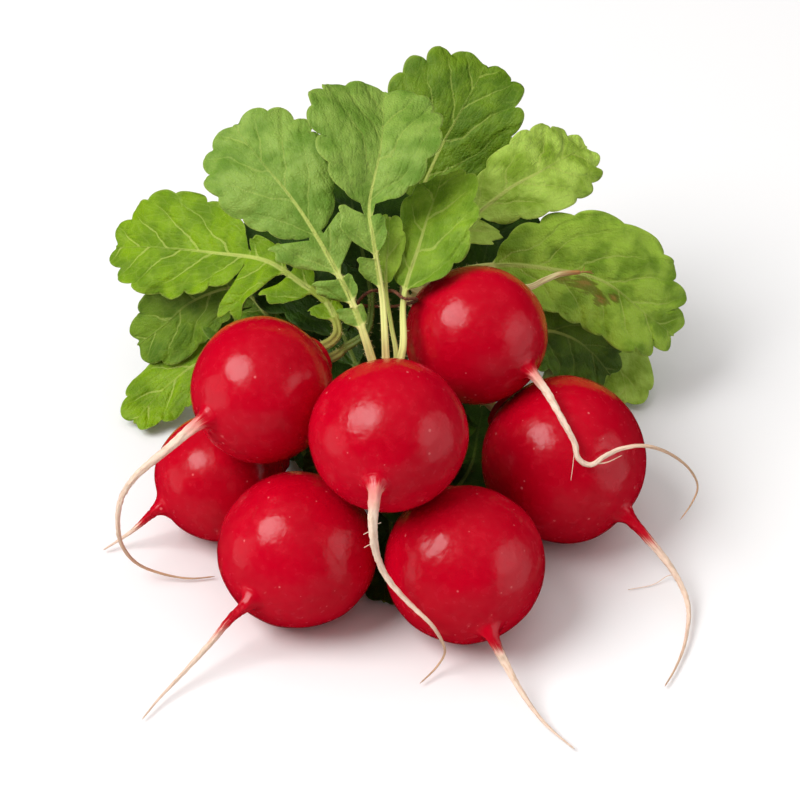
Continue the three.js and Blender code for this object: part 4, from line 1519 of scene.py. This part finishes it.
def leaves(roots: dict[str, Radish]) -> list[Leaf]:
    """The nineteen leaves.

    Args:
        roots: The roots by name.

    Returns:
        The leaves of all crowns.
    """
    one, two, three, four = (roots[f"radish_{n}"] for n in (1, 2, 3, 4))
    five, six, seven = (roots[f"radish_{n}"] for n in (5, 6, 7))
    # The leaves that lie deep in shadow take the two painted-shade greens.
    return [
        Leaf(
            "leaf_1a", one, 180, 0.53, (14, 14.5), 6,
            [(-5.2, 34, 54.8), (-8.7, 40, 62), (-16.3, 49.9, 72), (-22.1, 56.5, 78), (-29.3, 64.3, 83),
             (-36.5, 75, 86.5)],
            ((0.2, -0.75, 0.6), (0.05, -0.75, 0.65)), LeafTone.GREY, fold=6, wave=1.3, thick=1.25,
            lobes=[(0.46, 3.5, 1.5, 4.5), (0.63, 6, 2, 5.5), (0.86, 11, 9, 8)],
        ),
        Leaf(
            "leaf_1b", one, 90, 0.56, (18.5, 14), 6,
            [(-0.7, 33.4, 55.2), (-1.4, 41.2, 62), (-3.5, 48.6, 73), (-4.4, 54, 77), (-1.7, 66.2, 86),
             (-1.1, 84.2, 89.5)],
            ((0, -0.8, 0.5), (0.1, -0.8, 0.5)), LeafTone.GREY, fold=20, cup=-0.015, wave=1.5, thick=1.05,
            lobes=[(0.62, 4, 0, 6), (0.83, 7, 3, 8)],
        ),
        Leaf(
            "leaf_1d", one, 270, 0.62, (3.6, 4), 3,
            [(1.8, 34, 48.5), (0.7, 39.5, 54.5), (-0.4, 44, 60.2), (-0.5, 47.5, 65), (0, 51.9, 68.5),
             (0.3, 58.5, 72)],
            ((0, -0.8, 0.5), (0.1, -0.8, 0.5)), LeafTone.LIGHT, fold=10, wave=0.4, thick=0.85,
        ),
        Leaf(
            "leaf_1c", one, 0, 0.42, (7.5, 12.5), 5,
            [(3.4, 33.5, 53), (3.6, 43, 60), (7.3, 53.6, 67), (9.2, 60, 70), (11.3, 66.4, 72),
             (13.1, 75.5, 72)],
            ((-0.3, -0.8, 0.5), (-0.35, -0.75, 0.5)), LeafTone.FRESH, wave=0.9, thick=1.15, taper=0.0,
        ),
        Leaf(
            "leaf_2a", two, 60, 0.52, (15, 15), 5,
            [(-7, 28, 21), (-5, 42, 27), (-10, 58, 34), (-20, 76, 41), (-33, 97, 44)],
            ((0, -0.7, 0.7), (0.1, -0.5, 0.85)), LeafTone.SHADED, lobes=[(0.9, 5, 5, 8)],
        ),
        Leaf(
            "leaf_2b", two, 240, 0.42, (13, 13), 5,
            [(-11, 28, 14), (-11, 45, 13), (-15, 66, 14), (-24, 88, 15), (-33, 104, 9)],
            ((0, 0, 1), (-0.2, 0.2, 1)), LeafTone.SHADED, lobes=[(0.85, 6, 6, 8)],
        ),
        Leaf(
            "leaf_2c", two, 150, 0.3, (4.5, 4), 3,
            [(-12.5, 25.5, 20.3), (-17, 30.5, 18.5), (-20.5, 35.5, 13.5)],
            ((0.1, -0.7, 0.7), (0.1, -0.7, 0.7)), LeafTone.SHADED, fold=6, wave=0.3, thick=1,
        ),
        Leaf(
            "leaf_3a", three, 120, 0.45, (13, 10), 5,
            [(9, 25, 25), (3, 40, 24), (-1, 60, 26), (-2, 82, 26), (-1, 104, 22)],
            ((0, -0.7, 0.7), (0, -0.3, 1)), LeafTone.SHADED, lobes=[(0.9, 5, 5, 8)],
        ),
        Leaf(
            "leaf_3b", three, 240, 0.58, (13, 13), 5,
            [(11, 27, 14), (9, 46, 10), (15, 62, 19), (21, 77, 33), (25, 90, 43), (28, 102, 49)],
            ((0, -0.6, 0.8), (0, -0.7, 0.7)), LeafTone.SHADED, lobes=[(0.46, 4, 11, 10)],
        ),
        Leaf(
            "leaf_3c", three, 0, 0.25, (7.5, 4.5), 4,
            [(12, 24, 23.5), (14.5, 30, 26), (16.5, 37, 26.5), (17.5, 44, 23.5), (18.5, 50, 19)],
            ((0.1, -0.6, 0.7), (0.2, -0.6, 0.7)), LeafTone.SHADED, wave=0.5, thick=1.1,
        ),
        Leaf(
            "leaf_4a", four, 90, 0.52, (12.5, 15), 6,
            [(-11.8, 46, 48), (-14.5, 53, 50.5), (-21.2, 60.6, 50.8), (-29.5, 71.2, 49), (-42.7, 81, 44),
             (-59.2, 90.1, 39), (-69.2, 96.4, 34)],
            ((0.2, -0.75, 0.65), (-0.1, -0.65, 0.75)), LeafTone.BRIGHT, wave=1.5, taper=0.08,
            lobes=[(0.3, 4, 2, 5), (0.56, 8, 4, 8), (0.84, 16, 5, 12)],
        ),
        Leaf(
            "leaf_4b", four, 0, 0.5, (11, 14), 5,
            [(-10.5, 42.5, 45), (-5.2, 45, 48), (-4, 52, 52), (-6, 64, 56), (-8.5, 77, 60), (-10, 91, 62)],
            ((0, -0.7, 0.6), (0, -0.6, 0.8)), LeafTone.SHADED, wave=1, lobes=[(0.85, 4, 4, 6)],
        ),
        Leaf(
            "leaf_5a", five, 90, 0.5, (10.5, 9), 4,
            [(-21, 47, 23), (-25, 60, 29), (-31, 73, 33), (-37.9, 81.2, 33), (-49.5, 82.9, 27),
             (-56.1, 83, 20), (-64.4, 83.7, 12)],
            ((0, -0.7, 0.7), (-0.3, -0.7, 0.6)), LeafTone.MOSS, fold=6, wave=1, thick=1.3,
            lobes=[(0.95, 13, 4, 11)],
        ),
        Leaf(
            "leaf_5b", five, 270, 0.5, (8.5, 8.5), 4,
            [(-21, 47, 14), (-29, 60, 12), (-38, 71, 13), (-46, 75.7, 14), (-54.2, 74.5, 8.5),
             (-58.6, 71.5, 5.5), (-64.3, 64.4, 2.4)],
            ((0, -0.5, 0.8), (-0.3, -0.5, 0.8)), LeafTone.BRIGHT, fold=6, wave=0.8, thick=1.3,
        ),
        Leaf(
            "leaf_6a", six, 90, 0.38, (10, 13), 5,
            [(23.5, 55, 26), (30, 67, 24.5), (38, 75.5, 24), (44.8, 77, 21), (50.7, 78.1, 15),
             (56.4, 77.6, 7)],
            ((0, -0.8, 0.6), (0.1, -0.8, 0.6)), LeafTone.PAINTED_HALF_SHADE, fold=6, wave=0.8, thick=1.2, taper=0.05,
        ),
        Leaf(
            "leaf_6b", six, 270, 0.5, (9, 9), 4,
            [(23, 55, 19), (31, 69, 17), (42, 82, 16.5), (49.5, 86, 15), (55, 84.5, 11),
             (59, 79.5, 5.5), (59.5, 72, 2.4)],
            ((0, -0.5, 0.9), (0.2, -0.5, 0.9)), LeafTone.PALE, fold=6, wave=0.6, thick=1.3,
        ),
        Leaf(
            "leaf_7a", seven, 270, 0.34, (16.5, 12.5), 7,
            [(9.5, 66.5, 43.5), (16, 71, 45.5), (27, 71.5, 47.5), (38.5, 73.4, 45), (52, 76, 39.3),
             (63.2, 76, 29), (71.8, 78, 19.5)],
            ((0, -0.75, 0.65), (0.2, -0.75, 0.6)), LeafTone.LIGHT, fold=6, wave=1.5, taper=0.05,
            damage=[(1.5, 17.0, 1.4), (2.5, 23.0, 2.0), (4.0, 29.5, 1.6), (2.0, 33.0, 1.0)],
        ),
        Leaf(
            "leaf_7b", seven, 90, 0.42, (11, 11.5), 6,
            [(10, 66, 51), (14, 73, 53), (19.6, 79.5, 55), (29.3, 85.7, 60), (36.7, 91.1, 61),
             (43.5, 99, 60), (49.8, 108, 57)],
            ((0, -0.7, 0.7), (0, -0.6, 0.8)), LeafTone.PALE, taper=0.1, lobes=[(0.82, 2, 8, 8)],
        ),
        Leaf(
            "leaf_7c", seven, 180, 0.42, (18.5, 15), 7,
            [(4, 67, 47), (3.5, 78, 48), (8, 93, 54), (12.9, 100.6, 62), (17, 104.3, 68.5),
             (21.2, 110.5, 73.3), (24.2, 118, 75.2)],
            ((0, -0.9, 0.4), (-0.05, -0.8, 0.6)), LeafTone.MOSS, fold=10, cup=-0.015, wave=1.3,
        ),
    ]


def shade_filler_leaves(roots: dict[str, Radish]) -> list[Leaf]:
    """Small dark leaves that lie in the shade between and behind the lower roots: partly leaves, partly
    painted shade that darkens the gaps.

    Args:
        roots: The roots by name.

    Returns:
        The leaves.
    """
    two, three, five = (roots[f"radish_{n}"] for n in (2, 3, 5))
    flat = ((0, -0.3, 1), (0, -0.3, 1))
    plain = {"fold": 5.0, "wave": 0.6, "thick": 0.9, "own_node": False, "half_columns": 12, "blade_rows": 70}
    return [
        Leaf(
            "under_leaf_1", three, 180, 0.2, (10, 10), 5,
            [(12, 26, 12), (16, 36, 6.5), (20, 47, 4.5), (22, 60, 4), (24, 74, 4)],
            flat, LeafTone.SHADED, **plain,
        ),
        Leaf(
            "under_leaf_2", five, 180, 0.2, (9, 9), 4,
            [(-20, 43, 11), (-20, 49, 6), (-21, 58, 4.5), (-23, 70, 4)], flat, LeafTone.SHADED, **plain,
        ),
        Leaf(
            "under_leaf_3", two, 300, 0.2, (8, 8), 4,
            [(-4, 26, 12), (0.5, 31, 6.5), (4, 38, 4.5), (6, 49, 4)], flat, LeafTone.SHADED, **plain,
        ),
        Leaf(
            "under_leaf_4", two, 0, 0.3, (6.5, 6.5), 4,
            [(-3.5, 25, 15), (0, 28, 8), (0.5, 24, 2.6), (-0.5, 15, 1.4), (-1, 2, 1.2)],
            ((0, -1, 0.3), (0, 0, 1)), LeafTone.SHADED, **plain,
        ),
        Leaf(
            "under_leaf_5", five, 0, 0.42, (9.5, 9.5), 4,
            [(-22, 50, 16.5), (-28, 62, 20), (-35, 75, 23.5), (-42, 88, 25)], flat, LeafTone.PAINTED_HALF_SHADE, **plain,
        ),
    ]


@dataclass(frozen=True)
class Lamp:
    """A round soft light that looks at the bunch.

    Attributes:
        name: Its name.
        way: The direction from the bunch to the light.
        distance: How far away it hangs, in metres.
        size: Its width, in metres.
        power: Its power in watts.
        sheen: Whether it only shows as a reflection in glossy surfaces.
    """

    name: str
    way: Point
    distance: float
    size: float
    power: float
    sheen: bool = False


@dataclass(frozen=True)
class Studio:
    """A pale floor, soft light from the upper left and the camera, sizes in metres.

    Attributes:
        target: What the camera and the lamps look at.
        distance: How far away the camera stands.
        elevation: How high it stands, in degrees.
        lens: Its lens in millimetres.
        lamps: The lamps.
        rise: The height of a way, from 0 to 1, where the sky starts to shine and where it is brightest.
        sky: How bright the sky is there.
        warmth: The sky's colour.
        floor_half: Half the floor's width.
    """

    target: Point = (0.00034, -0.01498, 0.0460)
    distance: float = 0.640
    elevation: float = 40.0
    lens: float = 126.43
    lamps: tuple[Lamp, ...] = (
        Lamp("key", (-0.60, -0.21, 0.77), 1.8, 1.2, 28.5),
        Lamp("fill", (0.85, -0.35, 0.35), 1.1, 0.7, 1.0),
        Lamp("right_sheen", (0.95, -0.28, 0.12), 1.2, 1.3, 4.0, sheen=True),
        Lamp("left_sheen", (-0.95, -0.2, 0.05), 1.2, 0.8, 1.6, sheen=True),
    )
    rise: tuple[float, float] = (0.25, 1.0)
    sky: float = 1.0
    warmth: Colour = tint(1.0, 0.97, 0.96)
    floor_half: float = 1.5

    def floor(self) -> bpy.types.Object:
        """The floor, a wide pale sheet under the bunch."""
        half = self.floor_half
        corners = [(-half, -half, 0.0), (half, -half, 0.0), (half, half, 0.0), (-half, half, 0.0)]
        mesh = bpy.data.meshes.new("floor")
        mesh.from_pydata(corners, [], [(0, 1, 2, 3)])
        made = placed("floor", mesh)
        finish = Finish("studio_floor")
        finish.shader(Base_Color=tint(0.93, 0.93, 0.93), Roughness=0.7, Specular_IOR_Level=0.2)
        mesh.materials.append(finish.material)
        made.visible_glossy = False
        return made

    def hang(self, lamp: Lamp) -> None:
        """Hangs one lamp and turns it to the bunch."""
        light = bpy.data.lights.new(lamp.name, "AREA")
        light.shape = "DISK"
        light.size = lamp.size
        light.energy = lamp.power
        made = placed(lamp.name, light)
        place = Vector(self.target) + Vector(lamp.way).normalized() * lamp.distance
        turn = (Vector(self.target) - place).to_track_quat("-Z", "Y")
        made.matrix_world = Matrix.LocRotScale(place, turn, Vector((1, 1, 1)))
        made.visible_diffuse = not lamp.sheen

    def camera(self) -> None:
        """The camera at the photograph's place."""
        lens = bpy.data.cameras.new("camera")
        lens.lens = self.lens
        lens.sensor_width = 36.0
        lens.clip_start, lens.clip_end = 0.01, 20.0
        made = placed("camera", lens)
        lift = math.radians(self.elevation)
        away = Vector((0.0, -math.cos(lift), math.sin(lift)))
        made.location = Vector(self.target) + away * self.distance
        made.rotation_euler = (math.radians(90.0 - self.elevation), 0.0, 0.0)
        bpy.context.scene.camera = made

    def overhead(self) -> None:
        """A sky that is bright overhead and dim at its rim, so that hollows stay dark."""
        world = bpy.data.worlds.new("sky")
        world.use_nodes = True
        tree = world.node_tree
        way = tree.nodes.new("ShaderNodeTexCoord")
        parts = tree.nodes.new("ShaderNodeSeparateXYZ")
        rise = tree.nodes.new("ShaderNodeMapRange")
        tree.links.new(way.outputs["Generated"], parts.inputs[0])
        tree.links.new(parts.outputs["Z"], rise.inputs["Value"])
        tree.links.new(rise.outputs["Result"], tree.nodes["Background"].inputs["Strength"])
        for name, value in zip(("From Min", "From Max", "To Min", "To Max"), (*self.rise, 0.0, self.sky)):
            rise.inputs[name].default_value = value
        tree.nodes["Background"].inputs["Color"].default_value = self.warmth
        bpy.context.scene.world = world
        world.cycles_visibility.glossy = False

    def build(self) -> None:
        """Sets up the floor, the lights, the sky and the camera."""
        self.floor()
        for lamp in self.lamps:
            self.hang(lamp)
        self.overhead()
        bpy.context.scene.view_settings.view_transform = "Standard"
        self.camera()


DRY_STALK_POINTS = [
    (15, 65, 47.6), (24, 66, 46.6), (33.5, 64.8, 46), (37, 66, 47), (41, 68, 47.4), (46, 70, 46.5),
]
STRAND_POINTS = [
    (-3.7, 45.2, 60.1), (-0.8, 47.6, 58.2), (1.5, 43.2, 61.4), (3.7, 40.4, 61.6), (6.2, 42.6, 59.8),
    (6, 47, 55.5), (1, 52.5, 49.8), (-4, 53.6, 49), (-7, 50.5, 52), (-5.6, 46.8, 57.6),
]
# Lighter and darker copies of one green: partly each leaf's own tone, partly painted light and shade for how
# lit each leaf lies.
GREENS = {
    LeafTone.GREY: LeafGreen(tint(0.26, 0.4, 0.065), tint(0.13, 0.25, 0.022), 0.2),
    LeafTone.PALE: LeafGreen(tint(0.46, 0.65, 0.1), tint(0.22, 0.36, 0.02), 0.35),
    LeafTone.LIGHT: LeafGreen(tint(0.35, 0.54, 0.045), tint(0.15, 0.28, 0.008), 0.35),
    LeafTone.MOSS: LeafGreen(tint(0.15, 0.26, 0.01), tint(0.08, 0.165, 0.004), 0.3),
    LeafTone.FRESH: LeafGreen(tint(0.24, 0.39, 0.022), tint(0.13, 0.25, 0.006), 0.35),
    LeafTone.BRIGHT: LeafGreen(
        tint(0.21, 0.36, 0.001), tint(0.12, 0.23, 0.001), 0.45,
        stalk=tint(0.3, 0.38, 0.04), foot=tint(0.44, 0.4, 0.1),
    ),
    # Painted shade, half dark, for leaves that lie in shadow.
    LeafTone.PAINTED_HALF_SHADE: LeafGreen(
        tint(0.12, 0.23, 0.008), tint(0.05, 0.11, 0.002), 0.15,
        stalk=tint(0.28, 0.34, 0.06), foot=tint(0.42, 0.39, 0.1),
    ),
    # Painted shade, near black, for hidden leaves deep in the bunch's shadow.
    LeafTone.SHADED: LeafGreen(
        tint(0.03, 0.075, 0.003), tint(0.014, 0.04, 0.001), 0.1,
        stalk=tint(0.12, 0.18, 0.025), foot=tint(0.3, 0.28, 0.07),
        vein=tint(0.14, 0.2, 0.03), back=tint(0.08, 0.13, 0.03),
    ),
}


def report(piece: bpy.types.Object, node: str | None = None) -> None:
    """Logs a piece's size, and how far it stands from its node's box.

    Args:
        piece: The finished piece.
        node: The node that it replaces, if it replaces one.
    """
    places = np.array([tuple(v.co) for v in piece.data.vertices])
    low, high = places.min(axis=0), places.max(axis=0)
    text = f"{piece.name}: {len(piece.data.polygons)} faces, {np.round((high - low) / MM, 1)} mm"
    if node:
        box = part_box(node)
        proud = max(np.max(np.array(box[0]) - low), np.max(high - np.array(box[1]))) / MM
        text += f", {proud:.2f} mm proud of its node"
    LOG.info(text)


def main() -> None:
    """Builds the bunch, dresses it and sets up the studio."""
    logging.basicConfig(level=logging.INFO, format="%(message)s")
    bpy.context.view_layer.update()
    roots = radishes()
    skin = RadishSkin().material()
    greens = {tone: green.material(tone) for tone, green in GREENS.items()}
    for root in roots:
        report(root.build(skin), root.name)
    named = {root.name: root for root in roots}
    foliage = leaves(named)
    for leaf in foliage:
        report(leaf.build(greens), leaf.name)
    # Dark filler leaves in the bunch's hollows, painted shade as much as leaves.
    for leaf in shade_filler_leaves(named):
        report(leaf.build(greens))
    report(Bristles().build(foliage, greens[LeafTone.GREY]))
    report(DryStalk(named["radish_7"], DRY_STALK_POINTS).build(DryStraw().material()), "dry_stalk")
    report(Strand(STRAND_POINTS).build(StrandFibre().material()), "tie")
    Studio().build()


if __name__ == "__main__":
    main()
